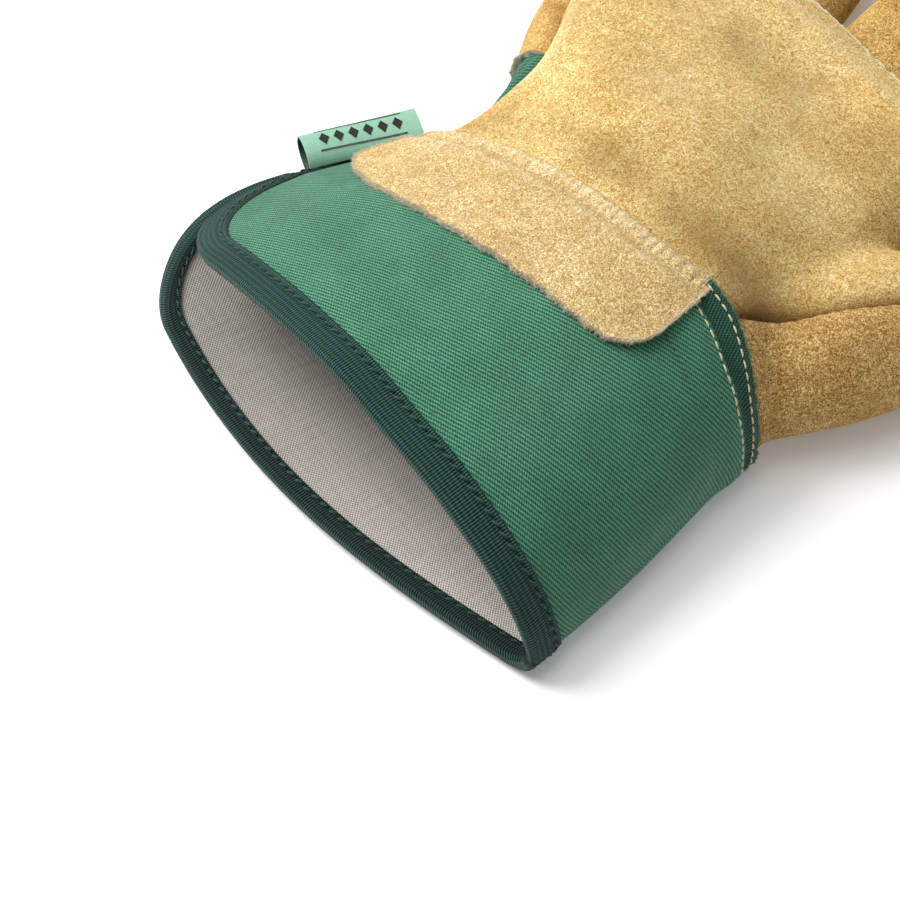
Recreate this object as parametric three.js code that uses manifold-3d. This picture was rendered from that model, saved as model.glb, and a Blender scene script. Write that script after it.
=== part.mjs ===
// A gardening glove for the right hand, lying palm up: leather hand and digits, a flared
// twill safety cuff with a canvas lining, a bound mouth, a wrist patch and a folded side label.
// Millimetres, +Z up. +X runs from the cuff mouth to the fingertips, -Y is the thumb side.
// The origin is under the middle of the glove, on the surface it lies on.
import * as THREE from 'three';
import Module from 'manifold-3d';
import { mergeVertices } from 'three/addons/utils/BufferGeometryUtils.js';

const wasm = await Module();
wasm.setup();

// ---- Driving dimensions ----
const LEATHER = 1.5;            // split leather
const TWILL = 1.0;              // cuff and back twill
const CANVAS = 0.8;             // lining
const GAP = 0.3;                // space left between touching pieces
const CUFF_NEAR = 72;           // where the hand is sewn to the cuff, on the thumb side
const CUFF_FAR = 56;            // and on the little finger side
const BINDING_WIDTH = 7;        // bound mouth, outside
const SEAM_START = 28;          // the side seam starts here; the corners before it are open
const CORNER_OUT = 4.5;         // the lower corner stands out past the seam
const CORNER_IN = 2.5;          // and the upper one lies inside it
const STRAP_START = 86;         // the knuckle strap runs from here to the finger roots
const DIGIT_SPLIT = 0.5;        // share of a digit's height where its two halves meet
const FLEX_GAP = 10;            // palm side room that lets a digit fold up
const LINING_INSET = TWILL + 1.7 * GAP;
const INNER_INSET = LEATHER + GAP;

// Cross sections of cuff and hand: position along X, thumb side edge, little finger side edge,
// crown height, heights of the two edges, underside height, fullness beside each edge.
const STATIONS = [
  { x: -20, near: -67.5, far: 66, crown: 35, foldZ: 5, edgeZ: 14, floor: 1.6, nearFull: 0.5, farFull: 0.85 },
  { x: 0, near: -66, far: 67, crown: 36, foldZ: 5, edgeZ: 15, floor: 1.6, nearFull: 0.5, farFull: 0.85 },
  { x: 28, near: -60.5, far: 61, crown: 38, foldZ: 6, edgeZ: 16, floor: 0, nearFull: 0.45, farFull: 0.8 },
  { x: 56, near: -52.5, far: 54, crown: 40, foldZ: 7, edgeZ: 16, floor: 0, nearFull: 0.4, farFull: 0.75 },
  { x: 72, near: -47.5, far: 56, crown: 40.5, foldZ: 8, edgeZ: 13, floor: 0, nearFull: 0.4, farFull: 0.6 },
  { x: 88, near: -37, far: 66, crown: 39, foldZ: 9, edgeZ: 11, floor: 0, nearFull: 0.4, farFull: 0.5 },
  { x: 110, near: -31, far: 82, crown: 33, foldZ: 9, edgeZ: 10, floor: 0, nearFull: 0.38, farFull: 0.42 },
  { x: 132, near: -26, far: 87, crown: 25, foldZ: 9, edgeZ: 9, floor: 0, nearFull: 0.3, farFull: 0.35 },
  { x: 156, near: -24, far: 88, crown: 18.5, foldZ: 9, edgeZ: 9, floor: 0, nearFull: 0.22, farFull: 0.22 },
];

// Digits: middle of the root, direction in degrees from +X, length, half widths and heights
// at root and tip.
const DIGITS = {
  index: { root: [148.5, -10], turn: 9, length: 74, half: [13.2, 11], height: [18, 15] },
  middle: { root: [151, 18.5], turn: 17, length: 82, half: [13.2, 11], height: [18, 15] },
  ring: { root: [149, 47], turn: 23.5, length: 76, half: [13.0, 10.8], height: [18, 15] },
  little: { root: [141, 73.5], turn: 33, length: 60, half: [11.8, 9.8], height: [17, 14] },
};
// The thumb tube starts inside the hand at the wrist and leaves it at THUMB_ROOT.
const THUMB_LINE = [[64, -25], [90, -37], [115, -45.5], [142, -55], [178, -68]];
const THUMB_HALF = [20.5, 19.5, 17, 15, 12.5];
const THUMB_HEIGHT = [30, 29, 26, 22, 18];
const THUMB_ROOT = 0.5;         // share of the thumb tube's line that belongs to the hand
const THUMB_SPLIT = 12;         // height where the thumb's two halves meet
// Seams seen from above, as X, Y: little finger side and thumb side of the palm.
const FAR_SEAM = [[50, 50], [73, 50.5], [82, 51.5], [90, 56], [100, 64.5], [112, 73.5], [128, 79], [160, 81]];
const NEAR_SEAM = [[60, -33], [75, -35], [91, -39], [107, -45], [122, -49]];

const LEATHER_TAN = 0xd0a55c;
const LEATHER_LIGHT = 0xd6ae68;
const TWILL_GREEN = 0x2f7a55;
const TAPE_GREEN = 0x0f4a3c;
const CANVAS_GREY = 0xb3aa9c;
const LABEL_MINT = 0x74c6a0;

// ---- Small helpers ----
const { lerp, clamp, degToRad } = THREE.MathUtils;

// Smooth value of one key of STATIONS at position x, by cubic interpolation.
function stationValue(x, key) {
  const last = STATIONS.length - 2;
  let i = 0;
  while (i < last && x > STATIONS[i + 1].x) i += 1;
  const a = STATIONS[Math.max(i - 1, 0)];
  const b = STATIONS[i];
  const c = STATIONS[i + 1];
  const d = STATIONS[Math.min(i + 2, STATIONS.length - 1)];
  const span = c.x - b.x;
  const t = clamp((x - b.x) / span, 0, 1);
  const slopeB = (c[key] - a[key]) / (c.x - a.x || 1) * span;
  const slopeC = (d[key] - b[key]) / (d.x - b.x || 1) * span;
  const t2 = t * t;
  const t3 = t2 * t;
  return (2 * t3 - 3 * t2 + 1) * b[key] + (t3 - 2 * t2 + t) * slopeB
    + (3 * t2 - 2 * t3) * c[key] + (t3 - t2) * slopeC;
}

// Quarter round: 0 until `start`, then rising to 1 at 1 with an upright end.
function roundUp(v, start) {
  const q = clamp((v - start) / (1 - start), 0, 1);
  return 1 - Math.sqrt(1 - q * q);
}

// Which layer a side value lies on, and how far across it from the thumb edge, 0 to 1.
function layerOf(side) {
  const turned = (side + 2) % 2;
  const under = turned > 1;
  const along = under ? 2 - turned : turned;
  return { under, v: (1 - Math.cos(Math.PI * along)) / 2 };
}

// Point of the sleeve (cuff and hand) at x. side runs 0 to 1 over the palm side from the thumb
// edge to the far edge, and 1 to 2 back along the underside. inset moves it into the hollow.
function sleevePoint(x, side, inset) {
  const s = (key) => stationValue(x, key);
  const open = 1 - clamp(x / SEAM_START, 0, 1) ** 2;
  const { under, v } = layerOf(side);
  const far = s('far') + open * (under ? CORNER_OUT : -CORNER_IN);
  const y = lerp(s('near') + inset, far - 1.5 * inset, v);
  const floor = Math.max(s('floor'), 0) + inset;
  if (under) {
    const lift = (s('foldZ') - floor) * roundUp(1 - v, 0.955) + (s('edgeZ') - floor) * roundUp(v, 0.66);
    return new THREE.Vector3(x, y, floor + lift);
  }
  const a = s('nearFull');
  const b = s('farFull');
  const peak = a / (a + b);
  const swell = (v ** a * (1 - v) ** b) / (peak ** a * (1 - peak) ** b);
  const rise = s('crown') - inset - lerp(s('foldZ'), s('edgeZ'), peak);
  return new THREE.Vector3(x, y, lerp(s('foldZ'), s('edgeZ'), v) + rise * swell);
}

// Position along X of the cuff's mouth edge: the middle of each layer stands out, and both
// corners on the little finger side are rounded back to the start of the side seam.
function mouthX(side) {
  const { under, v } = layerOf(side);
  const bow = Math.sin(Math.PI / 2 * Math.min(v / 0.6, 1));
  const edge = under ? -16.5 * bow + 40 * Math.max(v - 0.6, 0) ** 2 : 1 - 7.5 * v ** 0.5;
  const corner = under ? 36 * roundUp(v, 0.84) : 33 * roundUp(v, 0.83);
  return edge + corner;
}

function junctionX(side) {
  return lerp(CUFF_NEAR, CUFF_FAR, layerOf(side).v);
}

// Point of the cuff: reach 0 at the mouth edge, 1 at the joint with the hand.
function cuffPoint(reach, side, inset) {
  return sleevePoint(lerp(mouthX(side), junctionX(side), reach), side, inset);
}

// Closed surface through rows of points. Every row is a closed ring; the rows either close on
// each other (wrap) or end in a fan at each end.
function ringSurface(rows, wrap) {
  const count = rows[0].length;
  const positions = rows.flat().flatMap((p) => [p.x, p.y, p.z]);
  const index = [];
  const rowPairs = wrap ? rows.length : rows.length - 1;
  for (let i = 0; i < rowPairs; i += 1) {
    const next = (i + 1) % rows.length;
    for (let j = 0; j < count; j += 1) {
      const k = (j + 1) % count;
      index.push(i * count + j, next * count + j, next * count + k);
      index.push(i * count + j, next * count + k, i * count + k);
    }
  }
  if (!wrap) {
    for (const [row, flip] of [[0, false], [rows.length - 1, true]]) {
      const centre = new THREE.Vector3();
      rows[row].forEach((p) => centre.addScaledVector(p, 1 / count));
      const hub = positions.length / 3;
      positions.push(centre.x, centre.y, centre.z);
      for (let j = 0; j < count; j += 1) {
        const a = row * count + j;
        const b = row * count + (j + 1) % count;
        index.push(...(flip ? [hub, b, a] : [hub, a, b]));
      }
    }
  }
  const geometry = new THREE.BufferGeometry();
  geometry.setAttribute('position', new THREE.Float32BufferAttribute(positions, 3));
  geometry.setIndex(index);
  return faceOutward(geometry);
}

// Turns the triangles of a closed surface so that they face out.
function faceOutward(geometry) {
  const p = geometry.attributes.position;
  const index = geometry.index.array;
  const corner = (i) => new THREE.Vector3().fromBufferAttribute(p, index[i]);
  let volume = 0;
  for (let i = 0; i < index.length; i += 3) {
    volume += corner(i).dot(corner(i + 1).cross(corner(i + 2)));
  }
  if (volume < 0) index.reverse();
  geometry.computeVertexNormals();
  return geometry;
}

function range(count, from, to) {
  return Array.from({ length: count + 1 }, (_, i) => lerp(from, to, i / count));
}

// ---- Cuff pieces: rings swept round the sleeve from a section of reach and inset ----
const ROUND = 52;
const LAYER_START = 0.02;       // twill and canvas stop this short of the bound edge
const SIDES = range(ROUND, 0, 2).slice(0, ROUND);

function cuffRing(section) {
  const rows = SIDES.map((side) => section.map(([reach, inset]) => cuffPoint(reach, side, inset)));
  return ringSurface(rows, true);
}

function cuffLayer(outer, inner, startReach, endReach) {
  const steps = [0, 0.05, 0.1, 0.3, 0.55, 0.8, 1].map((q) => lerp(startReach, endReach, q));
  const back = [...steps].reverse();
  return cuffRing([...steps.map((r) => [r, outer]), ...back.map((r) => [r, inner])]);
}

function mouthBinding() {
  const wide = BINDING_WIDTH / CUFF_NEAR;
  const lip = -1.2 / CUFF_NEAR;
  const stop = -GAP / CUFF_NEAR;
  const deep = LINING_INSET + CANVAS;
  const tape = 0.8;
  const clear = 1.5 * GAP;
  return cuffRing([
    [wide, -clear - tape], [wide / 2, -clear - tape], [lip, -clear - tape * 0.6], [lip, deep + clear + tape * 0.6],
    [wide * 0.8, deep + clear + tape], [wide * 0.8, deep + clear], [stop, deep + clear], [stop, -clear],
    [wide / 2, -clear], [wide, -clear],
  ]);
}

// A sheet on the cuff between two sides, from its end near the hand to edgeReach(q).
function cuffSheet(fromSide, toSide, startReach, edgeReach, inset, thick, across, along) {
  const rows = range(across, 0, 1).map((q) => {
    const side = lerp(fromSide, toSide, q);
    const reaches = range(along, startReach, edgeReach(q));
    const lower = reaches.map((r) => cuffPoint(r, side, inset));
    const upper = reaches.map((r) => cuffPoint(r, side, inset - thick)).reverse();
    return [...lower, ...upper];
  });
  return ringSurface(rows, false);
}

function patchEdge(q) {
  const corner = 0.2;
  const end = Math.max(roundUp(q, 1 - corner), roundUp(1 - q, 1 - corner));
  return lerp(0.6, 0.95, end);
}

// ---- Hand: solids that are hollowed and cut with manifold-3d ----
function toManifold(geometry) {
  const bare = new THREE.BufferGeometry();
  bare.setAttribute('position', geometry.attributes.position);
  bare.setIndex(geometry.index);
  const merged = mergeVertices(bare, 1e-4);
  return new wasm.Manifold(new wasm.Mesh({
    numProp: 3,
    vertProperties: new Float32Array(merged.attributes.position.array),
    triVerts: new Uint32Array(merged.index.array),
  }));
}

function toGeometry(solid) {
  const mesh = solid.getMesh();
  const geometry = new THREE.BufferGeometry();
  geometry.setAttribute('position', new THREE.BufferAttribute(mesh.vertProperties, 3));
  geometry.setIndex(new THREE.BufferAttribute(mesh.triVerts, 1));
  geometry.computeVertexNormals();
  return geometry;
}

function handSleeve(inset, fromX, toX) {
  const rows = range(9, fromX, toX).map((x) => range(32, 0, 2).slice(0, 32)
    .map((side) => sleevePoint(x, side, inset)));
  return toManifold(ringSurface(rows, false));
}

// Ring of a digit: half width, height, resting on the surface; upright across its direction.
function digitRing(x, y, turn, half, height, inset, lift) {
  const steps = 14;
  return range(steps, 0, 2 * Math.PI).slice(0, steps).map((angle) => {
    const side = Math.cos(angle) * (half - inset);
    const up = Math.sin(angle) * (height / 2 - inset);
    return new THREE.Vector3(x - Math.sin(turn) * side, y + Math.cos(turn) * side, lift + height / 2 + up);
  });
}

// Shrink of a digit's section towards its rounded tip.
function tipShrink(s, length, round) {
  const q = clamp((s - length + round) / round, 0, 1);
  return Math.sqrt(Math.max(1 - q * q, 0.002));
}

function tipSteps(length, round, from, along) {
  const angles = range(5, 0, Math.PI / 2).map((a) => Math.sin(a));
  return [...range(along, from, length - round), ...angles.slice(1).map((q) => length - round + q * round)];
}

function digitTube(digit, inset, from) {
  const turn = degToRad(digit.turn);
  const length = digit.length - inset;
  const round = digit.half[1];
  const rows = tipSteps(length, round, from, 3).map((s) => {
    const t = clamp(s / digit.length, 0, 1);
    const shrink = tipShrink(s, length, round);
    const half = (lerp(digit.half[0], digit.half[1], t) - inset) * shrink + inset;
    const height = (lerp(digit.height[0], digit.height[1], t) - 2 * inset) * shrink + 2 * inset;
    const lift = lerp(digit.height[0], digit.height[1], t) / 2 - height / 2;
    return digitRing(digit.root[0] + Math.cos(turn) * s, digit.root[1] + Math.sin(turn) * s, turn, half,
      height, inset, lift);
  });
  return toManifold(ringSurface(rows, false));
}

// Thumb: the same kind of tube along a bent line.
const thumbCurve = new THREE.CatmullRomCurve3(THUMB_LINE.map(([x, y]) => new THREE.Vector3(x, y, 0)));

function alongList(list, t) {
  const at = clamp(t, 0, 1) * (list.length - 1);
  const i = Math.min(Math.floor(at), list.length - 2);
  return lerp(list[i], list[i + 1], at - i);
}

function thumbTube(inset) {
  const round = 0.1;
  const length = 1 - inset / 120;
  const rows = tipSteps(length, round, 0, 8).map((t) => {
    const point = thumbCurve.getPoint(Math.min(t, 1));
    const heading = thumbCurve.getTangent(Math.min(t, 1));
    const shrink = tipShrink(t, length, round);
    const half = (alongList(THUMB_HALF, t) - inset) * shrink + inset;
    const full = alongList(THUMB_HEIGHT, t);
    const height = (full - 2 * inset) * shrink + 2 * inset;
    return digitRing(point.x, point.y, Math.atan2(heading.y, heading.x), half, height, inset,
      full / 2 - height / 2);
  });
  return toManifold(ringSurface(rows, false));
}

// Upright prism over a plan outline between two heights; its underside may slope along X.
function prism(outline, low, high, slope = 0) {
  const shape = new THREE.Shape(outline.map(([x, y]) => new THREE.Vector2(x, y)));
  const geometry = new THREE.ExtrudeGeometry(shape, { depth: high - low, bevelEnabled: false });
  const p = geometry.attributes.position;
  for (let i = 0; i < p.count; i += 1) p.setZ(i, p.getZ(i) + low + slope * p.getX(i));
  geometry.deleteAttribute('normal');
  geometry.deleteAttribute('uv');
  return toManifold(mergeVertices(geometry, 1e-4));
}

// Line across the hand where it is sewn to the cuff, moved by `shift` along X.
function junctionLine(shift) {
  const slope = (CUFF_FAR - CUFF_NEAR) / (stationValue(CUFF_FAR, 'far') - stationValue(CUFF_NEAR, 'near'));
  const at = (y) => CUFF_NEAR + slope * (y - stationValue(CUFF_NEAR, 'near')) + shift;
  return [[at(-90), -90], [at(110), 110]];
}

// Line across the finger roots, square to each finger, moved back by `back`.
function knuckleLine(back) {
  const points = [];
  for (const digit of Object.values(DIGITS)) {
    const turn = degToRad(digit.turn);
    for (const side of [-1, 1]) {
      const half = side * digit.half[0];
      points.push([
        digit.root[0] - Math.sin(turn) * half - Math.cos(turn) * back,
        digit.root[1] + Math.cos(turn) * half - Math.sin(turn) * back,
      ]);
    }
  }
  const first = points[0];
  const last = points[points.length - 1];
  return [[first[0] + 1, first[1] - 60], ...points, [last[0] - 14, last[1] + 30]];
}

function offsetLine(line, dy) {
  return line.map(([x, y]) => [x, y + dy]);
}

const farX = 260;
const [jointNear, jointFar] = junctionLine(GAP);
const handArea = prism([jointNear, ...knuckleLine(GAP), jointFar], -5, 60);

// Share of the plan on the thumb side of where the thumb leaves the hand.
const rootPoint = thumbCurve.getPoint(THUMB_ROOT);
const rootHeading = thumbCurve.getTangent(THUMB_ROOT);

function thumbArea(back, low, high) {
  const across = [-rootHeading.y, rootHeading.x];
  const start = [rootPoint.x + rootHeading.x * back, rootPoint.y + rootHeading.y * back];
  const corner = (along, side) => [
    start[0] + rootHeading.x * along + across[0] * side,
    start[1] + rootHeading.y * along + across[1] * side,
  ];
  return prism([corner(0, -40), corner(90, -40), corner(90, 20), corner(0, 20)], low, high);
}

const thumbBeyond = thumbArea(0, -5, 60);

function handBody(inset) {
  const reach = inset > 0 ? 6 : 0;
  const sleeve = handSleeve(inset, 50 - reach, 156 + reach);
  const thumb = thumbTube(inset).subtract(thumbBeyond);
  return sleeve.add(thumb);
}

function handShell(outer, inner) {
  const hollow = handSleeve(inner, 44, 162).add(thumbTube(inner));
  return handBody(outer).subtract(hollow).intersect(handArea).subtract(thumbBeyond);
}

// Palm side of the hand between its two long seams, above the slope that parts it from the back.
function palmArea(grow) {
  const outline = [...offsetLine(NEAR_SEAM, -grow), [124, -33 - grow], [162, -26 - grow],
    ...offsetLine(FAR_SEAM, grow).reverse()];
  return prism(outline, 19.5 - grow, 80, -0.07);
}

const LEATHER_SHELL = handShell(0, LEATHER);
const TWILL_SHELL = handShell(0, TWILL);
const INNER_SHELL = handShell(INNER_INSET, INNER_INSET + CANVAS);

function slab(fromX, toX, fromY, toY, low = -5, high = 60) {
  return prism([[fromX, fromY], [toX, fromY], [toX, toY], [fromX, toY]], low, high);
}

const GUSSET_LINE = -29;        // where the thumb's side wall meets the back, under the hand
const gussetArea = slab(40, 150, -90, GUSSET_LINE);
const backArea = slab(40, farX, GUSSET_LINE + GAP, 120);

function palmPanel() {
  return LEATHER_SHELL.intersect(palmArea(0));
}

function palmLining() {
  return INNER_SHELL.intersect(palmArea(-3)).intersect(slab(66, 128, -24, 60));
}

function thumbGusset() {
  return LEATHER_SHELL.subtract(palmArea(GAP)).intersect(gussetArea);
}

// The twill back runs on under the knuckle strap, one leather thickness deeper.
function backPanel() {
  const bare = TWILL_SHELL.intersect(slab(40, STRAP_START - GAP, GUSSET_LINE + GAP, 120));
  const step = handShell(0, INNER_INSET + TWILL)
    .intersect(slab(STRAP_START - GAP - 1.5, STRAP_START - GAP, GUSSET_LINE + GAP, 120));
  const hidden = handShell(INNER_INSET, INNER_INSET + TWILL)
    .intersect(slab(STRAP_START - GAP - 1.5, 128, GUSSET_LINE + GAP, 120));
  return bare.add(step).add(hidden).subtract(palmArea(GAP));
}

function knuckleStrap() {
  return LEATHER_SHELL.intersect(backArea).intersect(slab(STRAP_START, farX, -90, 120))
    .subtract(palmArea(GAP));
}

function backElastic() {
  return handShell(TWILL + GAP, TWILL + GAP + CANVAS).intersect(slab(75, 81, -24, 42, -5, 12));
}

function digitHalf(digit, front) {
  const shell = digitTube(digit, 0, GAP).subtract(digitTube(digit, LEATHER, -5));
  const split = digit.height[0] * DIGIT_SPLIT;
  const turn = degToRad(digit.turn);
  const start = front ? FLEX_GAP : 0;
  const corner = (s, side) => [
    digit.root[0] + Math.cos(turn) * s - Math.sin(turn) * side,
    digit.root[1] + Math.sin(turn) * s + Math.cos(turn) * side,
  ];
  const area = [corner(start, -30), corner(120, -30), corner(120, 30), corner(start, 30)];
  return shell.intersect(front ? prism(area, split, 60) : prism(area, -5, split - GAP));
}

function thumbHalf(front) {
  const shell = thumbTube(0).subtract(thumbTube(LEATHER));
  const split = THUMB_SPLIT;
  return front
    ? shell.intersect(thumbArea(FLEX_GAP + 2, split, 60))
    : shell.intersect(thumbArea(GAP, -5, split - GAP));
}

// Folded label: a flat loop of ribbon standing out of the side seam.
function sideLabel() {
  const long = 8.5;
  const fat = 1.6;
  const outline = new THREE.Shape();
  outline.moveTo(0, -fat * 0.5);
  outline.quadraticCurveTo(long * 0.6, -fat * 0.9, long, -fat * 0.6);
  outline.absarc(long, 0, fat * 0.6, -Math.PI / 2, Math.PI / 2, false);
  outline.quadraticCurveTo(long * 0.6, fat * 0.9, 0, fat * 0.5);
  const hollow = new THREE.Path();
  hollow.moveTo(2, -0.3);
  hollow.quadraticCurveTo(long * 0.6, -fat * 0.5, long, -0.4);
  hollow.absarc(long, 0, 0.4, -Math.PI / 2, Math.PI / 2, false);
  hollow.quadraticCurveTo(long * 0.6, fat * 0.5, 2, 0.3);
  outline.holes.push(hollow);
  return new THREE.ExtrudeGeometry(outline, { depth: 25, bevelEnabled: false, curveSegments: 4 });
}

// ---- Assembly ----
const glove = new THREE.Group();

function addPiece(name, geometry, color, roughness) {
  const material = new THREE.MeshStandardMaterial({ color, roughness, metalness: 0 });
  const mesh = new THREE.Mesh(geometry, material);
  mesh.name = name;
  glove.add(mesh);
  return mesh;
}

function addSolid(name, solid, color, roughness = 0.95) {
  return addPiece(name, toGeometry(solid), color, roughness);
}

addPiece('cuff_shell', cuffLayer(0, TWILL, LAYER_START, 1), TWILL_GREEN, 0.9);
addPiece('cuff_lining', cuffLayer(LINING_INSET, LINING_INSET + CANVAS, LAYER_START, 0.97), CANVAS_GREY, 0.95);
addPiece('mouth_binding', mouthBinding(), TAPE_GREEN, 0.8);
addPiece('pulse_patch', cuffSheet(0.27, 0.83, 0.995, patchEdge, -2 * GAP, LEATHER, 14, 4), LEATHER_LIGHT, 0.95);
addPiece('wrist_strip', cuffSheet(0.25, -0.05, 0.995, () => 0.88, -GAP, TWILL, 8, 1), TAPE_GREEN, 0.9);
addSolid('palm_panel', palmPanel(), LEATHER_TAN);
addSolid('palm_lining', palmLining(), CANVAS_GREY);
addSolid('back_panel', backPanel(), TWILL_GREEN);
addSolid('back_elastic', backElastic(), CANVAS_GREY);
addSolid('knuckle_strap', knuckleStrap(), LEATHER_TAN);
addSolid('thumb_gusset', thumbGusset(), LEATHER_TAN);
addSolid('thumb_front', thumbHalf(true), LEATHER_TAN);
addSolid('thumb_back', thumbHalf(false), LEATHER_TAN);
for (const [name, digit] of Object.entries(DIGITS)) {
  addSolid(`${name}_front`, digitHalf(digit, true), LEATHER_TAN);
  addSolid(`${name}_back`, digitHalf(digit, false), LEATHER_TAN);
}
const label = addPiece('side_label', sideLabel(), LABEL_MINT, 0.6);
const labelFoot = sleevePoint(30, 1, 0);
const labelEnd = sleevePoint(54, 1, 0);
const labelRun = labelEnd.clone().sub(labelFoot).normalize();
const LABEL_TILT = degToRad(12);
const labelOut = new THREE.Vector3(0, Math.cos(LABEL_TILT), Math.sin(LABEL_TILT));
const labelAcross = new THREE.Vector3().crossVectors(labelRun, labelOut).normalize();
const labelUp = new THREE.Vector3().crossVectors(labelAcross, labelRun).normalize();
label.quaternion.setFromRotationMatrix(new THREE.Matrix4().makeBasis(labelUp, labelAcross, labelRun));
label.position.copy(labelFoot).addScaledVector(labelUp, 1.2);

// The origin goes under the middle of the whole glove.
glove.updateMatrixWorld(true);
const bounds = new THREE.Box3().setFromObject(glove);
const root = new THREE.Group();
glove.position.set(-(bounds.min.x + bounds.max.x) / 2, -(bounds.min.y + bounds.max.y) / 2, -bounds.min.z);
root.add(glove);

export default root;
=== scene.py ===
# A right-hand leather gardening glove lying palm up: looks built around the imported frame.
# Shapes are worked out in millimetres in the glove's own layout (X from the cuff mouth to the
# fingertips, -Y the thumb side, Z up) and moved into the frame, in metres, as meshes are made.
import math

import bmesh
import bpy
import numpy as np
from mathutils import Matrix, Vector


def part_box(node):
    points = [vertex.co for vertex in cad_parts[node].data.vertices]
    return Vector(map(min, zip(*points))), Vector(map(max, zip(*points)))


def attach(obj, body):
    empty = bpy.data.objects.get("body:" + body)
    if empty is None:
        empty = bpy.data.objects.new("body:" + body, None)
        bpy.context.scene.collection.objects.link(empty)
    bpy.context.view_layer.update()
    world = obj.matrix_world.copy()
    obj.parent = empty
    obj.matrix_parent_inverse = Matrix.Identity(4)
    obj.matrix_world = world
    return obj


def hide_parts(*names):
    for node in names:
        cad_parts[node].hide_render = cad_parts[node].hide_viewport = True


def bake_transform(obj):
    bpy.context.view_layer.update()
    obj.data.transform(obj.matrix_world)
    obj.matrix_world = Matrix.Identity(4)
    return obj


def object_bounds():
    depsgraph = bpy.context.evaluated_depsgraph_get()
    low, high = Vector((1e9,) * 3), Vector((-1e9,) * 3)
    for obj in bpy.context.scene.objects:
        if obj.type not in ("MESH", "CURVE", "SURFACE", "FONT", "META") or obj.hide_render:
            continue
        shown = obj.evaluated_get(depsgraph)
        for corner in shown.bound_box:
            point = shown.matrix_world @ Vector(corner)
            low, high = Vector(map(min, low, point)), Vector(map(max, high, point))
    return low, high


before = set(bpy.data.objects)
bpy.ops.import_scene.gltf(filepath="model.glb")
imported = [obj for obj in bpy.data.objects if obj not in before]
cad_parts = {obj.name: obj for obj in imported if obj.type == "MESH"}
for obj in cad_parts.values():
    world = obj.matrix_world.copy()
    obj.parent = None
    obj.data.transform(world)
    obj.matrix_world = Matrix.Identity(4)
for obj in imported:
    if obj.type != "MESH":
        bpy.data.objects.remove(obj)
CAD_BOX = [list(corner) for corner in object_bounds()]

# ---- Layout, in millimetres ----
LEATHER = 1.4
TWILL = 0.8
CANVAS = 0.5
TAPE = 0.5
TWILL_PITCH = 0.79
SEAM_START = 28.0
CORNER_OUT = 4.5
CORNER_IN = 2.5
STRAP_START = 86.0
ELASTIC_CORNER = (75.0, -24.0)   # the back elastic's corner, where the frame's layout is read from
ORIGIN = np.array(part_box("back_elastic")[0]) * 1000.0 - (*ELASTIC_CORNER, 0.0)
ORIGIN[2] = 0.0

STATION_KEYS = ("x", "near", "far", "crown", "fold", "edge", "floor", "near_full", "far_full")
STATIONS = np.array([
    (-20, -67.5, 66, 35, 5, 14, 1.6, 0.50, 0.85),
    (0, -66, 67, 36, 5, 15, 1.6, 0.50, 0.85),
    (28, -60.5, 61, 38, 6, 16, 0, 0.45, 0.80),
    (56, -52.5, 54, 40, 7, 16, 0, 0.40, 0.75),
    (72, -47.5, 56, 40.5, 8, 13, 0, 0.40, 0.60),
    (88, -37, 66, 39, 9, 11, 0, 0.40, 0.50),
    (110, -31, 82, 33, 9, 10, 0, 0.38, 0.42),
    (132, -26, 87, 25, 9, 9, 0, 0.30, 0.35),
    (156, -24, 88, 18.5, 9, 9, 0, 0.22, 0.22),
], float)

# Fingers: root middle, turn in degrees from +X, length, half width and height at root and tip.
FINGERS = {
    "index": ((148.5, -10.0), 9.0, 74.0, (13.2, 11.0), (18.0, 15.0)),
    "middle": ((151.0, 18.5), 17.0, 82.0, (13.2, 11.0), (18.0, 15.0)),
    "ring": ((149.0, 47.0), 23.5, 76.0, (13.0, 10.8), (18.0, 15.0)),
    "little": ((141.0, 73.5), 33.0, 60.0, (11.8, 9.8), (17.0, 14.0)),
}
THUMB_LINE = np.array([(64, -25), (90, -37), (115, -45.5), (142, -55), (178, -68)], float)
THUMB_HALF = (20.5, 19.5, 17.0, 15.0, 12.5)
THUMB_HEIGHT = (24.0, 26.0, 24.5, 21.5, 18.0)
THUMB_SPLIT = 12.0
FAR_SEAM = ((50, 50), (73, 50.5), (82, 51.5), (90, 56), (100, 64.5), (112, 73.5), (128, 79), (160, 81))
# The sewn joint of cuff and hand: (Y, X) points across the glove.
JOINT = ((-54, 67.5), (-48, 67.3), (-43, 69), (-36, 70.7), (-30, 70.4), (-25, 69.6), (-18, 67.6),
         (-11, 66), (2, 64), (17, 61.8), (35, 59.2), (55, 56.5))
# How far the wrist strip reaches back over the cuff from that joint: (side, millimetres).
STRIP_BACK = ((-0.12, 3.6), (0.0, 4.3), (0.12, 5.3), (0.2, 6.8), (0.27, 6.4), (0.31, 5.2))
# The patch's free edge: (share of the way across, X).
PATCH_EDGE = ((0, 41.6), (0.05, 42.2), (0.1, 42.2), (0.2, 40.2), (0.3, 38.2), (0.5, 34.2), (0.68, 32),
              (0.8, 33.6), (0.94, 40.5), (1, 49))
PATCH_SIDES = (0.292, 0.905)
PATCH_CORNER = 0.13        # share of the patch's width over which its near corner is rounded
PATCH_CORNER_RISE = 14.0
NEAR_SEAM = ((60, -33), (75, -35), (91, -39), (107, -45), (124, -50), (145, -57.5), (165, -65), (190, -74))
KNUCKLES = ((-60, 150), (-24, 150.5), (-10, 149.5), (5, 151), (20, 151.5), (33, 151), (47, 149.5),
            (60, 146), (73.5, 141), (86, 134), (110, 122))
GUSSET_LINE = -29.0
THUMB_LIMIT = -30.0        # the thumb's own leather lies beyond this Y
SIDE_HEIGHT = 19.5         # height of the side edge of the palm at X 0, and its fall for each millimetre of X
SIDE_FALL = 0.07
VALLEY_HEIGHT = 17.5       # the same edge, a little lower, for the sunk seams beside it
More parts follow.
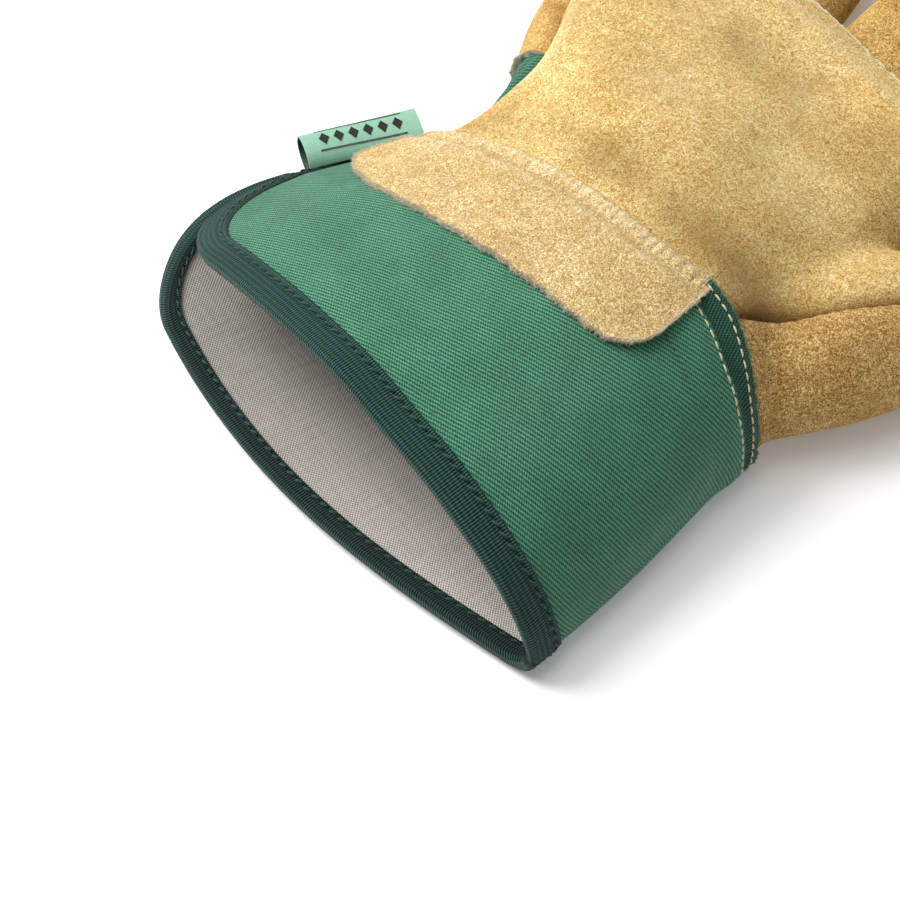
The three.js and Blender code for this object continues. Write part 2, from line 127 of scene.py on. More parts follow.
LAYER_GAP = 0.15           # air between one layer of cloth or leather and the next
ELASTIC_X = 78.0           # where the elastic draws the twill back in
BINDING_OUT = 6.8          # width of the binding outside the mouth, and inside it
BINDING_IN = 3.4
BINDING_RIDGE = 0.15
LABEL_WIDTH = 27.0
LABEL_REACH = 9.4          # how far the folded ribbon stands out of the side seam
LABEL_THICK = 0.3

# ---- Camera and lights, in degrees and metres unless said, chosen by comparing renders with the photo ----
CAMERA_AZIMUTH = -34.04
CAMERA_ELEVATION = 52.0
CAMERA_DISTANCE = 0.6
CAMERA_TARGET = (10.15, -22.7, 20.0)      # in the glove's layout, millimetres
CAMERA_LENS = 119.8                       # millimetres, on a sensor 36 mm wide
# Lamp name, place from the glove's middle, diameter and power in watts.
LAMPS = (("key", (-0.62, 0.95, 1.05), 1.1, 29.0), ("top", (-0.25, 0.35, 1.5), 1.3, 8.0))
SKY_HORIZON = 0.08         # brightness of the white dome at the horizon, and overhead
SKY_OVERHEAD = 0.50
FLOOR_HALF = 3.0
FLOOR_LEVEL = -0.0002      # just under the glove


# ---- Formulas of the glove's surfaces ----
def station(key, x):
    """Smooth value of one column of STATIONS at positions x."""
    return curve_value(STATIONS[:, [0, STATION_KEYS.index(key)]], x)


def round_up(v, start):
    """0 until start, then a quarter round up to 1 at 1."""
    q = np.clip((v - start) / (1 - start), 0, 1)
    return 1 - np.sqrt(1 - q * q)


def smoothstep(value, low, high):
    q = np.clip((value - low) / (high - low), 0, 1)
    return q * q * (3 - 2 * q)


def hump(value, middle, width):
    """1 at middle, falling smoothly to 0 within a few widths on both sides."""
    return np.exp(-((value - middle) / width) ** 2)


def unit(vectors):
    """The same vectors, one in each row, at length 1."""
    return vectors / np.linalg.norm(vectors, axis=1)[:, None]


def palm_side(x):
    """Height at x above which the skin belongs to the palm side."""
    return SIDE_HEIGHT - SIDE_FALL * x


def layer_of(side):
    """Whether side (0 to 1 over the palm side, 1 to 2 underneath) is underneath, and how far across."""
    turned = np.mod(side, 2.0)
    under = turned > 1
    along = np.where(under, 2 - turned, turned)
    return under, (1 - np.cos(np.pi * along)) / 2


def sleeve(x, side, inset):
    """Points of the cuff and hand at x, moved into the hollow by inset."""
    x, side, inset = np.broadcast_arrays(np.asarray(x, float), side, inset)
    under, v = layer_of(side)
    mouth_open = 1 - np.clip(x / SEAM_START, 0, 1) ** 2
    far = station("far", x) + mouth_open * np.where(under, CORNER_OUT, -CORNER_IN)
    near = station("near", x) + inset
    y = near + (far - 1.5 * inset - near) * v
    fold, edge, crown = station("fold", x), station("edge", x), station("crown", x)
    floor = np.maximum(station("floor", x), 0) + inset
    lower = floor + (fold - floor) * round_up(1 - v, 0.955) + (edge - floor) * round_up(v, 0.66)
    a, b = station("near_full", x), station("far_full", x)
    peak = a / (a + b)
    swell = (v ** a * (1 - v) ** b) / (peak ** a * (1 - peak) ** b)
    rise = crown - inset - (fold + (edge - fold) * peak)
    upper = fold + (edge - fold) * v + rise * swell
    return np.stack([x, y, np.where(under, lower, upper)], -1)


def mouth_x(side):
    under, v = layer_of(side)
    bow = np.sin(np.pi / 2 * np.minimum(v / 0.6, 1))
    edge = np.where(under, -16.5 * bow + 40 * np.maximum(v - 0.6, 0) ** 2, 1 - 7.5 * np.sqrt(v))
    return edge + np.where(under, 36 * round_up(v, 0.84), 33 * round_up(v, 0.83))


def junction_x(side):
    near, far = -49.3, 55.0
    return junction_at(near + (far - near) * layer_of(side)[1])


def junction_at(y):
    """X of the sewn joint of cuff and hand at y."""
    return curve_value(JOINT, y)


def cuff(reach, side, inset):
    """Points of the cuff: reach 0 at the mouth edge, 1 at the hand."""
    start = mouth_x(side)
    x = start + (junction_x(side) - start) * reach
    points = sleeve(x, side, inset)
    wave = ripples(points, 34.0, 3) * 0.45 * np.clip((points[..., 2] - 3) / 12, 0, 1)
    points[..., 2] += wave
    return points


def ripples(points, wavelength, seed, waves=7):
    """A smooth random field between about -1 and 1, from a few fixed plane waves."""
    rng = np.random.default_rng(seed)
    total = np.zeros(points.shape[:-1])
    for _ in range(waves):
        direction = rng.normal(size=3)
        direction /= np.linalg.norm(direction)
        length = wavelength * rng.uniform(0.7, 1.5)
        total += np.sin(points @ direction * 2 * np.pi / length + rng.uniform(0, 6.28))
    return total / math.sqrt(waves) / 1.3


def curve_value(table, at):
    """Smooth curve through (at, value) pairs."""
    xs, vs = np.array(table, float).T
    at = np.asarray(at, float)
    i = np.clip(np.searchsorted(xs, at) - 1, 0, len(xs) - 2)
    before, after = np.maximum(i - 1, 0), np.minimum(i + 2, len(xs) - 1)
    span = xs[i + 1] - xs[i]
    t = np.clip((at - xs[i]) / span, 0, 1)
    slope_b = (vs[i + 1] - vs[before]) / (xs[i + 1] - xs[before]) * span
    slope_c = (vs[after] - vs[i]) / (xs[after] - xs[i]) * span
    t2, t3 = t * t, t ** 3
    return ((2 * t3 - 3 * t2 + 1) * vs[i] + (t3 - 2 * t2 + t) * slope_b
            + (3 * t2 - 2 * t3) * vs[i + 1] + (t3 - t2) * slope_c)


# ---- Meshes ----
def add_object(name, data):
    """A new object in the scene."""
    obj = bpy.data.objects.new(name, data)
    bpy.context.scene.collection.objects.link(obj)
    return obj


def make_object(name, points, faces, cloth, material_index=None, materials=(), wear_and_shade=None):
    """A mesh object from layout points, with fabric coordinates (cloth) and nap wear and painted shade as
    attributes.
    """
    mesh = bpy.data.meshes.new(name)
    mesh.from_pydata(((points + ORIGIN) / 1000.0).tolist(), [], faces)
    attribute = mesh.attributes.new("cloth", "FLOAT_VECTOR", "POINT")
    attribute.data.foreach_set("vector", np.asarray(cloth, np.float32).ravel())
    if wear_and_shade is not None:
        attribute = mesh.attributes.new("wear_and_shade", "FLOAT", "POINT")
        attribute.data.foreach_set("value", np.asarray(wear_and_shade, np.float32).ravel())
    for material in materials:
        mesh.materials.append(material)
    if material_index is not None:
        mesh.polygons.foreach_set("material_index", material_index)
    bm = bmesh.new()
    bm.from_mesh(mesh)
    bmesh.ops.remove_doubles(bm, verts=bm.verts, dist=1e-6)
    bmesh.ops.recalc_face_normals(bm, faces=bm.faces)
    bm.to_mesh(mesh)
    bm.free()
    mesh.shade_smooth()
    mesh.set_sharp_from_angle(angle=math.radians(55))
    return add_object(name, mesh)


def layer_solid(name, outer, inner, wrap, cloth, materials, rim=0, wear_and_shade=None, inside=0):
    """A closed solid between two grids of points. Rows wrap or end; rim and inside choose materials."""
    rows, columns = outer.shape[:2]
    count = rows * columns
    last = rows if wrap else rows - 1
    i, j = np.meshgrid(np.arange(last), np.arange(columns - 1), indexing="ij")
    k = (i + 1) % rows
    quads = np.stack([i * columns + j, k * columns + j, k * columns + j + 1, i * columns + j + 1], -1)
    quads = quads.reshape(-1, 4)
    faces = [quads, quads[:, ::-1] + count]
    i = np.arange(last)
    k = (i + 1) % rows
    for column in (0, columns - 1):
        a, b = i * columns + column, k * columns + column
        faces.append(np.stack([a, b, b + count, a + count], -1))
    if not wrap:
        j = np.arange(columns - 1)
        for row in (0, rows - 1):
            a, b = row * columns + j, row * columns + j + 1
            faces.append(np.stack([a, b, b + count, a + count], -1))
    index = np.concatenate([np.zeros(len(quads), int), np.full(len(quads), inside)]
                           + [np.full(len(f), rim) for f in faces[2:]])
    points = np.concatenate([outer.reshape(-1, 3), inner.reshape(-1, 3)])
    coordinates = np.concatenate([cloth.reshape(-1, 3)] * 2)
    worn_and_shaded = None if wear_and_shade is None else np.concatenate([wear_and_shade.ravel()] * 2)
    faces = [tuple(f) for f in np.concatenate(faces).tolist()]
    return make_object(name, points, faces, coordinates, index.tolist(), materials, worn_and_shaded)


def run_length(points, axis):
    """Distance along a grid's rows or columns, from its start."""
    step = np.linalg.norm(np.diff(points, axis=axis), axis=-1)
    zero = np.zeros_like(np.take(step, [0], axis=axis))
    return np.concatenate([zero, np.cumsum(step, axis=axis)], axis=axis)


ARC_SIDES = np.linspace(-0.5, 2.5, 1201)
ARC_LENGTHS = run_length(sleeve(36.0, ARC_SIDES, 0.0), 0)


def weave_grid(points, side):
    """Fabric coordinates, in millimetres: along the glove, and round it as the cloth lies at mid cuff."""
    round_it = np.broadcast_to(np.interp(side, ARC_SIDES, ARC_LENGTHS), points.shape[:2])
    return np.stack([points[..., 0], round_it, np.zeros(points.shape[:2])], -1)


def thread_stitches(name, path, normals, pitch, length, radius, material, sink=0.35, slant=0.0):
    """A row of stitches as short threads lying along a path, one mesh."""
    distance = run_length(path, 0)
    starts = np.arange(pitch * 0.5, distance[-1] - pitch * 0.5, pitch)
    ring, sides = np.linspace(-1, 1, 7), np.linspace(0, 2 * np.pi, 7)[:-1]
    points, faces = [], []
    for n, middle in enumerate(starts):
        at = [np.interp(middle + d * length / 2, distance, path[:, c]) for c in range(3) for d in (-1, 1)]
        a, b = np.array(at[0::2]), np.array(at[1::2])
        up = np.array([np.interp(middle, distance, normals[:, c]) for c in range(3)])
        up /= np.linalg.norm(up)
        along = (b - a) / np.linalg.norm(b - a)
        beside = np.cross(up, along)
        along = along * math.cos(slant) + beside * math.sin(slant)
        beside = np.cross(up, along)
        centre = (a + b) / 2
        for r in ring:
            thick = radius * (1 - 0.75 * abs(r) ** 3)
            rise = radius * (1 - sink) - abs(r) ** 2.5 * radius * 1.4
            for s in sides:
                points.append(centre + along * r * length / 2 + up * (rise + thick * math.sin(s))
                              + beside * thick * 1.1 * math.cos(s))
        base = n * len(ring) * len(sides)
        for i in range(len(ring) - 1):
            for j in range(len(sides)):
                k = (j + 1) % len(sides)
                p, q = base + i * len(sides), base + (i + 1) * len(sides)
                faces.append((p + j, q + j, q + k, p + k))
        faces.append(tuple(base + j for j in range(len(sides))))
        faces.append(tuple(base + (len(ring) - 1) * len(sides) + j for j in reversed(range(len(sides)))))
    points = np.array(points)
    return make_object(name, points, faces, points, None, [material])


def loose_fibres(name, roots, directions, count, length, radius, material, seed):
    """Fine bent fibres standing out of an edge, one mesh of thin closed spikes."""
    rng = np.random.default_rng(seed)
    pick = rng.integers(0, len(roots), count)
    base = roots[pick] + rng.normal(size=(count, 3)) * 0.12
    aim = unit(directions[pick] + rng.normal(size=(count, 3)) * 0.55)
    bend = rng.normal(size=(count, 3)) * 0.5
    size = length * rng.uniform(0.35, 1.0, count)[:, None]
    side = unit(np.cross(aim, rng.normal(size=(count, 3))))
    other = np.cross(aim, side)
    middle = base + aim * size * 0.55 + bend * size * 0.12
    tip = base + aim * size + bend * size * 0.45
    corners = [side * math.cos(a) + other * math.sin(a) for a in (0, 2.094, 4.189)]
    rings = [base + c * radius for c in corners] + [middle + c * radius * 0.7 for c in corners] + [tip]
    points = np.stack(rings, 1).reshape(-1, 3)
    faces = []
    for first in range(0, count * 7, 7):
        faces.append((first + 2, first + 1, first))
        for i in range(3):
            k = (i + 1) % 3
            faces.append((first + i, first + k, first + 3 + k, first + 3 + i))
            faces.append((first + 3 + i, first + 3 + k, first + 6))
    return make_object(name, points, faces, points, None, [material])


def edge_roll(name, path, up, ahead, radius, materials, seed):
    """The thick soft edge of cut leather standing up along a path: an uneven closed roll."""
    rng = np.random.default_rng(seed)
    angle = np.linspace(0, 2 * np.pi, 11)[:-1]
    distance = run_length(path, 0)
    taper = np.minimum(1, np.minimum(distance, distance[-1] - distance) / 4 + 0.15)
    knots = np.arange(0, distance[-1] + 2, 0.9)
    uneven = radius * taper * (1 + 0.25 * np.interp(distance, knots, rng.normal(size=len(knots))))
    rings = (path[:, None] + up[:, None] * (np.sin(angle)[None, :, None] * uneven[:, None, None])
             + ahead[:, None] * (np.cos(angle)[None, :, None] * uneven[:, None, None] * 0.8))
    rings += rng.normal(size=rings.shape) * 0.06
    points, faces = closed_tube(rings)
    return make_object(name, points, faces, points, None, materials)


# ---- Materials ----
class Shader:
    """Short calls for building one node material over the fabric's own coordinates."""

    def __init__(self, name, roughness, **settings):
        self.material = bpy.data.materials.new(name)
        self.material.use_nodes = True
        self.tree = self.material.node_tree
        self.surface = self.tree.nodes["Principled BSDF"]
        self.surface.inputs["Roughness"].default_value = roughness
        for socket, value in settings.items():
            self.surface.inputs[socket.replace("_", " ")].default_value = value
        self.cloth = self.node("ShaderNodeAttribute", attribute_name="cloth").outputs["Vector"]

    def node(self, kind, inputs=None, **settings):
        """A new node, each of its inputs linked from another node's output or set to a value."""
        made = self.tree.nodes.new(kind)
        for key, value in settings.items():
            setattr(made, key, value)
        for key, value in (inputs or {}).items():
            socket = made.inputs[key]
            if hasattr(value, "is_output"):
                self.tree.links.new(value, socket)
            elif socket.type == "RGBA":
                socket.default_value = (*value, 1)
            else:
                socket.default_value = value
        return made

    def wear_and_shade(self):
        """The mesh's nap wear and painted shade: above 0 where the nap is rubbed, below 0 painted shade in
        seams, grooves and hollows, and darker blotches.
        """
        return self.node("ShaderNodeAttribute", attribute_name="wear_and_shade").outputs["Fac"]

    def mapped(self, turn=0.0, scale=(1, 1, 1)):
        inputs = {"Vector": self.cloth, "Rotation": (0, 0, turn), "Scale": scale}
        return self.node("ShaderNodeMapping", inputs).outputs["Vector"]

    def noise(self, scale, detail=2.0, distortion=0.0, vector=None, roughness=0.5):
        inputs = {"Vector": vector or self.cloth, "Scale": scale, "Detail": detail,
                  "Distortion": distortion, "Roughness": roughness}
        return self.node("ShaderNodeTexNoise", inputs).outputs["Fac"]

    def bands(self, pitch, turn=0.0, distortion=0.0, detail_scale=1.0):
        """Even stripes across the fabric, one every pitch millimetres, 0 to 1."""
        inputs = {"Vector": self.mapped(turn), "Scale": math.pi / 10 / pitch,
                  "Distortion": distortion, "Detail": 2.0, "Detail Scale": detail_scale}
        return self.node("ShaderNodeTexWave", inputs, wave_type="BANDS", bands_direction="X").outputs["Fac"]

    def ramp(self, value, stops):
        made = self.node("ShaderNodeValToRGB", {"Fac": value})
        elements = made.color_ramp.elements
        while len(elements) < len(stops):
            elements.new(0.5)
        for element, (position, colour) in zip(elements, stops):
            element.position = position
            element.color = (*colour, 1)
        return made.outputs["Color"]

    def mix(self, factor, a, b, blend="MIX"):
        inputs = {0: factor, 6: a, 7: b}
        return self.node("ShaderNodeMix", inputs, data_type="RGBA", blend_type=blend).outputs[2]

    def shaded(self, amount, colour, shade):
        """The colour multiplied by shade, by an amount from 0 to 1."""
        return self.mix(amount, colour, self.mix(1.0, colour, shade, "MULTIPLY"))

    def math(self, operation, a, b):
        return self.node("ShaderNodeMath", {0: a, 1: b}, operation=operation).outputs[0]

    def below_zero(self, value):
        """How far a value is below 0."""
        return self.math("MAXIMUM", self.math("MULTIPLY", value, -1.0), 0.0)

    def total(self, *parts):
        """The sum of values, each times its own factor."""
        first, *others = [self.math("MULTIPLY", value, factor) for value, factor in parts]
        for other in others:
            first = self.math("ADD", first, other)
        return first

    def finish(self, colour, height, strength, depth):
        """The material, coloured and with its surface raised by height, depth metres at full strength."""
        self.tree.links.new(colour, self.surface.inputs["Base Color"])
        bump = self.node("ShaderNodeBump", {"Strength": strength, "Distance": depth, "Height": height})
        self.tree.links.new(bump.outputs["Normal"], self.surface.inputs["Normal"])
        return self.material


def suede(name, dark, middle, light, mottle=0.6):
    """Napped split leather: short curled fibres over slow patches of lighter and darker tan."""
    s = Shader(name, 0.95, Sheen_Weight=0.12, Sheen_Roughness=0.5, Sheen_Tint=(1.0, 0.85, 0.55, 1.0),
               Specular_IOR_Level=0.06)
    nap = s.total((s.noise(1.75, 2.0, 1.9, roughness=0.6), 0.75), (s.noise(4.2, 1.0, 0.8), 0.25))
    colour = s.ramp(nap, [(0.435, dark), (0.50, middle), (0.565, light)])
    patches = s.ramp(s.noise(0.045, 3.0, 0.8, roughness=0.55),
                     [(0.40, (0.80, 0.71, 0.56)), (0.5, (0.98, 0.97, 0.95)), (0.60, (1.06, 1.06, 1.08))])
    colour = s.shaded(mottle, colour, patches)
    blotch = s.ramp(s.noise(0.2, 3.0, 0.5), [(0.38, (0.82, 0.76, 0.66)), (0.54, (1, 1, 1))])
    colour = s.shaded(0.55, colour, blotch)
    # Above 0 the nap turns paler where rubbed; below 0 it darkens towards dark brown: painted shade along
    # seams and grooves, and darker blotches.
    wear_and_shade = s.wear_and_shade()
    rubbed = s.ramp(nap, [(0.44, (0.74, 0.54, 0.28)), (0.56, (0.98, 0.86, 0.62))])
    colour = s.mix(s.math("MAXIMUM", wear_and_shade, 0.0), colour, rubbed)
    colour = s.mix(s.below_zero(wear_and_shade), colour, (0.24, 0.12, 0.028))
    return s.finish(colour, nap, 1.0, 0.0006)


def raw_edge(name):
    """The cut edge of split leather, pale grey brown and fibrous."""
    s = Shader(name, 1.0, Specular_IOR_Level=0.1)
    fibre = s.noise(2.4, 3.0, 1.5)
    stops = [(0.36, (0.38, 0.31, 0.23)), (0.5, (0.68, 0.59, 0.47)), (0.64, (0.92, 0.84, 0.72))]
    return s.finish(s.ramp(fibre, stops), fibre, 0.9, 0.0005)


def twill(name, dark, middle, light, turn):
    """Cotton twill: slanting ribs of fine threads, broken up by lint, with pale specks."""
    s = Shader(name, 0.88, Sheen_Weight=0.2, Sheen_Roughness=0.5, Specular_IOR_Level=0.2)
    ribs = s.bands(TWILL_PITCH, math.radians(turn), 0.9, 1.2)
    threads = s.bands(TWILL_PITCH * 0.62, math.radians(turn + 68), 1.6, 1.2)
    lint = s.math("SUBTRACT", s.noise(2.2, 3.0, 0.8), 0.5)
    cloth = s.total((ribs, 0.62), (threads, 0.38), (lint, 0.9))
    colour = s.ramp(cloth, [(0.2, dark), (0.5, middle), (0.82, light)])
    faded = s.ramp(s.noise(0.09, 4.0, 0.3), [(0.35, (0.82, 0.85, 0.82)), (0.6, (1, 1, 1))])
    colour = s.mix(1.0, colour, faded, "MULTIPLY")
    specks = s.ramp(s.noise(2.4, 1.0), [(0.77, (0, 0, 0)), (0.82, (0.5, 0.5, 0.5))])
    colour = s.mix(specks, colour, (0.45, 0.42, 0.25))
    return s.finish(colour, cloth, 0.6, 0.0003)


def canvas(name, dark, middle, light):
    """Plain weave: over and under threads of slightly uneven thickness, darkened by painted shade where the
    shade value is below 0.
    """
    s = Shader(name, 0.95, Specular_IOR_Level=0.1)
    warp, weft = (s.bands(0.5, math.radians(turn), 0.35, 1.5) for turn in (40, 130))
    cloth = s.math("MULTIPLY", s.math("ADD", warp, 0.3), s.math("ADD", weft, 0.3))
    slub, cross = (s.noise(0.9, 2.0, 0.0, s.mapped(0.0, stretch))
                   for stretch in ((0.12, 1.6, 1), (1.6, 0.12, 1)))
    uneven = s.math("SUBTRACT", s.math("ADD", slub, cross), 1.0)
    tone = s.total((cloth, 0.52), (uneven, 0.22))
    colour = s.ramp(tone, [(0.0, dark), (0.32, middle), (0.85, light)])
    colour = s.shaded(s.below_zero(s.wear_and_shade()), colour, (0.16, 0.17, 0.15))
    return s.finish(colour, cloth, 0.6, 0.0002)


def ribbed_tape(name, dark, middle, light):
    """Ribbed binding tape: fine cross ribs over raised lengthwise lines, darkened by painted shade where the
    shade value is below 0.
    """
    s = Shader(name, 0.7, Sheen_Weight=0.12, Sheen_Roughness=0.4, Specular_IOR_Level=0.25)
    ribs = s.bands(0.62, 0.0, 0.25, 2.0)
    lines = s.bands(1.3, math.pi / 2, 0.1, 1.0)
    tone = s.total((ribs, 0.6), (lines, 0.32), (s.noise(1.2, 3.0), 0.2))
    colour = s.ramp(tone, [(0.15, dark), (0.55, middle), (0.95, light)])
    colour = s.shaded(s.below_zero(s.wear_and_shade()), colour, (0.2, 0.2, 0.22))
    return s.finish(colour, tone, 0.9, 0.0004)


def plain_thread(name, dark, light, roughness=0.7):
    s = Shader(name, roughness, Sheen_Weight=0.2, Specular_IOR_Level=0.3)
    twist = s.noise(4.0, 2.0, 1.0)
    return s.finish(s.ramp(twist, [(0.35, dark), (0.65, light)]), twist, 0.5, 0.0002)


def elastic_web(name):
    """Flat woven elastic: close lengthwise cords with a fine cross weave."""
    s = Shader(name, 0.8, Specular_IOR_Level=0.2)
    cloth = s.total((s.bands(1.0, 0.0, 0.1), 0.7), (s.bands(0.5, math.pi / 2, 0.2), 0.3))
    colour = s.ramp(cloth, [(0.1, (0.35, 0.33, 0.29)), (0.7, (0.72, 0.70, 0.64))])
    return s.finish(colour, cloth, 0.6, 0.0003)


def satin_ribbon(name, dark, light):
    s = Shader(name, 0.42, Sheen_Weight=0.2, Specular_IOR_Level=0.5)
    cloth = s.total((s.bands(0.28, 0.0, 0.2, 2.0), 0.6), (s.bands(0.4, math.pi / 2, 0.2, 2.0), 0.4))
    colour = s.ramp(s.total((cloth, 0.7), (s.noise(0.8), 0.3)), [(0.2, dark), (0.8, light)])
    return s.finish(colour, cloth, 0.4, 0.0001)


PALM_SUEDE = suede("palm_suede", (0.53, 0.265, 0.048), (0.93, 0.61, 0.175), (1.0, 0.90, 0.52), 0.5)
PATCH_SUEDE = suede("patch_suede", (0.50, 0.29, 0.085), (0.78, 0.53, 0.21), (1.0, 0.87, 0.54), 0.3)
BACK_SUEDE = suede("strap_suede", (0.38, 0.18, 0.030), (0.65, 0.37, 0.085), (0.94, 0.71, 0.31))
THUMB_SUEDE = suede("thumb_suede", (0.32, 0.15, 0.027), (0.62, 0.345, 0.085), (0.94, 0.70, 0.34))
RAW_EDGE = raw_edge("leather_raw_edge")
CUFF_TWILL = twill("cuff_twill", (0.010, 0.075, 0.042), (0.040, 0.185, 0.110), (0.12, 0.33, 0.21), -25.0)
BACK_TWILL = twill("back_twill", (0.006, 0.045, 0.025), (0.022, 0.120, 0.070), (0.07, 0.22, 0.14), -25.0)
STRIP_TWILL = twill("strip_twill", (0.003, 0.022, 0.014), (0.010, 0.066, 0.040), (0.04, 0.15, 0.09), 60.0)
LINING = canvas("lining_canvas", (0.23, 0.20, 0.17), (0.56, 0.51, 0.46), (0.92, 0.88, 0.83))
TAPE_CLOTH = ribbed_tape("binding_tape", (0.001, 0.006, 0.006), (0.004, 0.030, 0.025), (0.024, 0.11, 0.09))
CREAM_THREAD = plain_thread("cream_thread", (0.50, 0.40, 0.22), (0.88, 0.78, 0.55))
DARK_THREAD = plain_thread("dark_thread", (0.003, 0.022, 0.018), (0.015, 0.075, 0.06))
ELASTIC_WEB = elastic_web("elastic_web")
FUZZ = plain_thread("leather_fuzz", (0.55, 0.44, 0.28), (0.95, 0.84, 0.64), 1.0)
GREEN_FUZZ = plain_thread("twill_fuzz", (0.03, 0.13, 0.08), (0.12, 0.34, 0.22), 1.0)
RIBBON = satin_ribbon("label_ribbon", (0.17, 0.38, 0.26), (0.34, 0.61, 0.44))
# A near-black copy of the ribbon for the inside of the loop: painted shade.
RIBBON_SHADED_INSIDE = satin_ribbon("label_ribbon_painted_shade", (0.012, 0.03, 0.02), (0.03, 0.07, 0.05))
PRINT = plain_thread("label_print", (0.004, 0.004, 0.004), (0.012, 0.012, 0.012), 0.6)

HAND = "hand"


def place(obj, slot, *nodes, body=HAND):
    """Rides the piece on its body and hides the CAD nodes it stands for; slot is not used."""
    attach(obj, body)
    if nodes:
        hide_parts(*nodes)
    return obj


# ---- Cuff ----
SIDES = np.linspace(0, 2, 481)[:-1]
LINING_STEPS = 60


def cuff_layer(name, outer_inset, thick, start, end, steps, materials, wear_and_shade=None):
    reach = np.linspace(start, end, steps)[None, :]
    side = SIDES[:, None]
    outer = cuff(reach, side, outer_inset)
    inner = cuff(reach, side, outer_inset + thick)
    return layer_solid(name, outer, inner, True, weave_grid(outer, side), materials, 0, wear_and_shade)


def cuff_reach(side, length):
    """Reach that is `length` millimetres in from the mouth edge."""
    return length / (junction_x(side) - mouth_x(side))


def build_cuff():
    shell = cuff_layer("cuff_twill_layer", 0.0, TWILL, 0.02, 1.0, 90, [CUFF_TWILL])
    place(shell, "cuff_twill", "cuff_shell")
    # Painted shade on the lining: full over the upper layer and the far part of the lower one, fading out
    # towards the near fold.
    hollow_shade = np.repeat(-0.48 * smoothstep(SIDES, 1.90, 1.30)[:, None], LINING_STEPS, axis=1)
    lining = cuff_layer("cuff_canvas_lining", TWILL + LAYER_GAP, CANVAS, 0.02, 0.99, LINING_STEPS,
                        [LINING], hollow_shade)
    place(lining, "lining_canvas", "cuff_lining")


def build_binding():
    """Tape folded over the mouth edge, in fine lengthwise ridges, stitched near its inner edge."""
    side = SIDES[:, None]
    edge = -0.2
    deep = TWILL + LAYER_GAP + CANVAS + LAYER_GAP
    across = np.linspace(0, 1, 25)
    bumps = BINDING_RIDGE * np.abs(np.sin(across * np.pi * 5)) - 0.28 * hump(across, 0.22, 0.09)
    outer_leg = [(BINDING_OUT * (1 - q), edge - TAPE - b) for q, b in zip(across, bumps)]
    turn = [(-1.0 * math.sin(a), edge - TAPE + (deep + 2 * TAPE - edge) * (1 - math.cos(a)) / 2)
            for a in np.linspace(0, np.pi, 9)[1:-1]]
    inner_leg = [(BINDING_IN * q, deep + TAPE + b) for q, b in zip(across, bumps[::-1])]
    outer_path = np.array(outer_leg + turn + inner_leg)
    inner_path = outer_path.copy()
    count = len(outer_leg)
    inner_path[:count, 1] = edge
    inner_path[-count:, 1] = deep
    inner_path[count:-count, 0] *= 0.4
    middle = (deep + edge) / 2
    inner_path[count:-count, 1] = middle + (outer_path[count:-count, 1] - middle) * 0.6
    outer, inner = (cuff(cuff_reach(side, path[None, :, 0]), side, path[None, :, 1])
                    for path in (outer_path, inner_path))
    inward = np.arange(outer.shape[1])[None, :] - count
    # Painted shade on the tape from partway round its fold over the whole inner leg, inside the mouth.
    inner_leg_shade = -0.75 * smoothstep(inward, 2, 8) * np.ones_like(side)
    tape = layer_solid("mouth_binding_tape", outer, inner, True, tape_cloth(outer), [TAPE_CLOTH], 0, inner_leg_shade)
    place(tape, "binding_tape", "mouth_binding")
    closed = np.append(SIDES, 2.0)
    for name, at, inset, flip in (("binding_stitches_outside", BINDING_OUT * 0.78, edge - TAPE + 0.05, 1),
                                  ("binding_stitches_inside", BINDING_IN * 0.75, deep + TAPE - 0.05, -1)):
        path = cuff(cuff_reach(closed, at), closed, inset)
        beyond = cuff(cuff_reach(closed, at), closed, inset - flip)
        row = thread_stitches(name, path, beyond - path, pitch=2.7, length=2.3, radius=0.3,
                              material=DARK_THREAD, sink=0.1, slant=0.3)
        place(row, "binding_tape")


def tape_cloth(points):
    """Tape coordinates: along its length, and across it."""
    length = run_length(points[:, points.shape[1] // 2][:, None], 0)
    return np.stack([np.broadcast_to(length, points.shape[:2]), run_length(points, 1),
                     np.zeros(points.shape[:2])], -1)


def patch_point(q, depth, inset):
    """Patch over the wrist: q across it from the thumb side, depth 0 at its hand edge, 1 at its free edge."""
    low, high = PATCH_SIDES
    side = low + (high - low) * q
    start = junction_x(side) + 0.6
    round_corner = 1 - np.sqrt(1 - np.clip(1 - q / PATCH_CORNER, 0, 1) ** 2)
    edge = curve_value(PATCH_EDGE, q) + PATCH_CORNER_RISE * round_corner
    edge = edge + 0.16 * np.sin(q * 61.0) + 0.14 * np.sin(q * 143.0 + 1.0)
    edge = edge + 0.1 * np.sin(q * 410.0) * np.sin(q * 87.0)
    return sleeve(start + (edge - start) * depth, side, inset)


def patch_relief(inland, along, across):
    """Height of the patch over the cuff, its tuck at the joint, and its wear and shade (paler crests, painted
    shade in the sewn groove), at distances from the joint.
    """
    groove = hump(inland, 4.8, 1.3)
    tuck = 1 - np.sqrt(np.clip(1 - (1 - np.clip(inland / 1.6, 0, 1)) ** 2, 0, 1))
    pucker = np.cos(along * 2 * np.pi / 2.5 + 1.5 * np.sin(along * 0.5))
    sewn = hump(inland, 2.4, 1.7) * smoothstep(across, 0.0, 0.05) * smoothstep(1 - across, 0.0, 0.05)
    height = 0.25 + LEATHER * (0.55 + 0.45 * smoothstep(inland, 3.0, 7.0))
    height += 0.16 * pucker * sewn - 0.45 * groove - 1.35 * tuck
    crest = hump(inland, 6.6, 1.3) * 0.35 + hump(inland, 2.2, 1.5) * 0.5
    # Paler rubbed nap along the crests; painted shade in the sewn groove.
    wear_and_shade = (crest * (0.7 + 0.3 * pucker) - 0.16 * groove) * smoothstep(across, 0.02, 0.2)
    return height, tuck, wear_and_shade


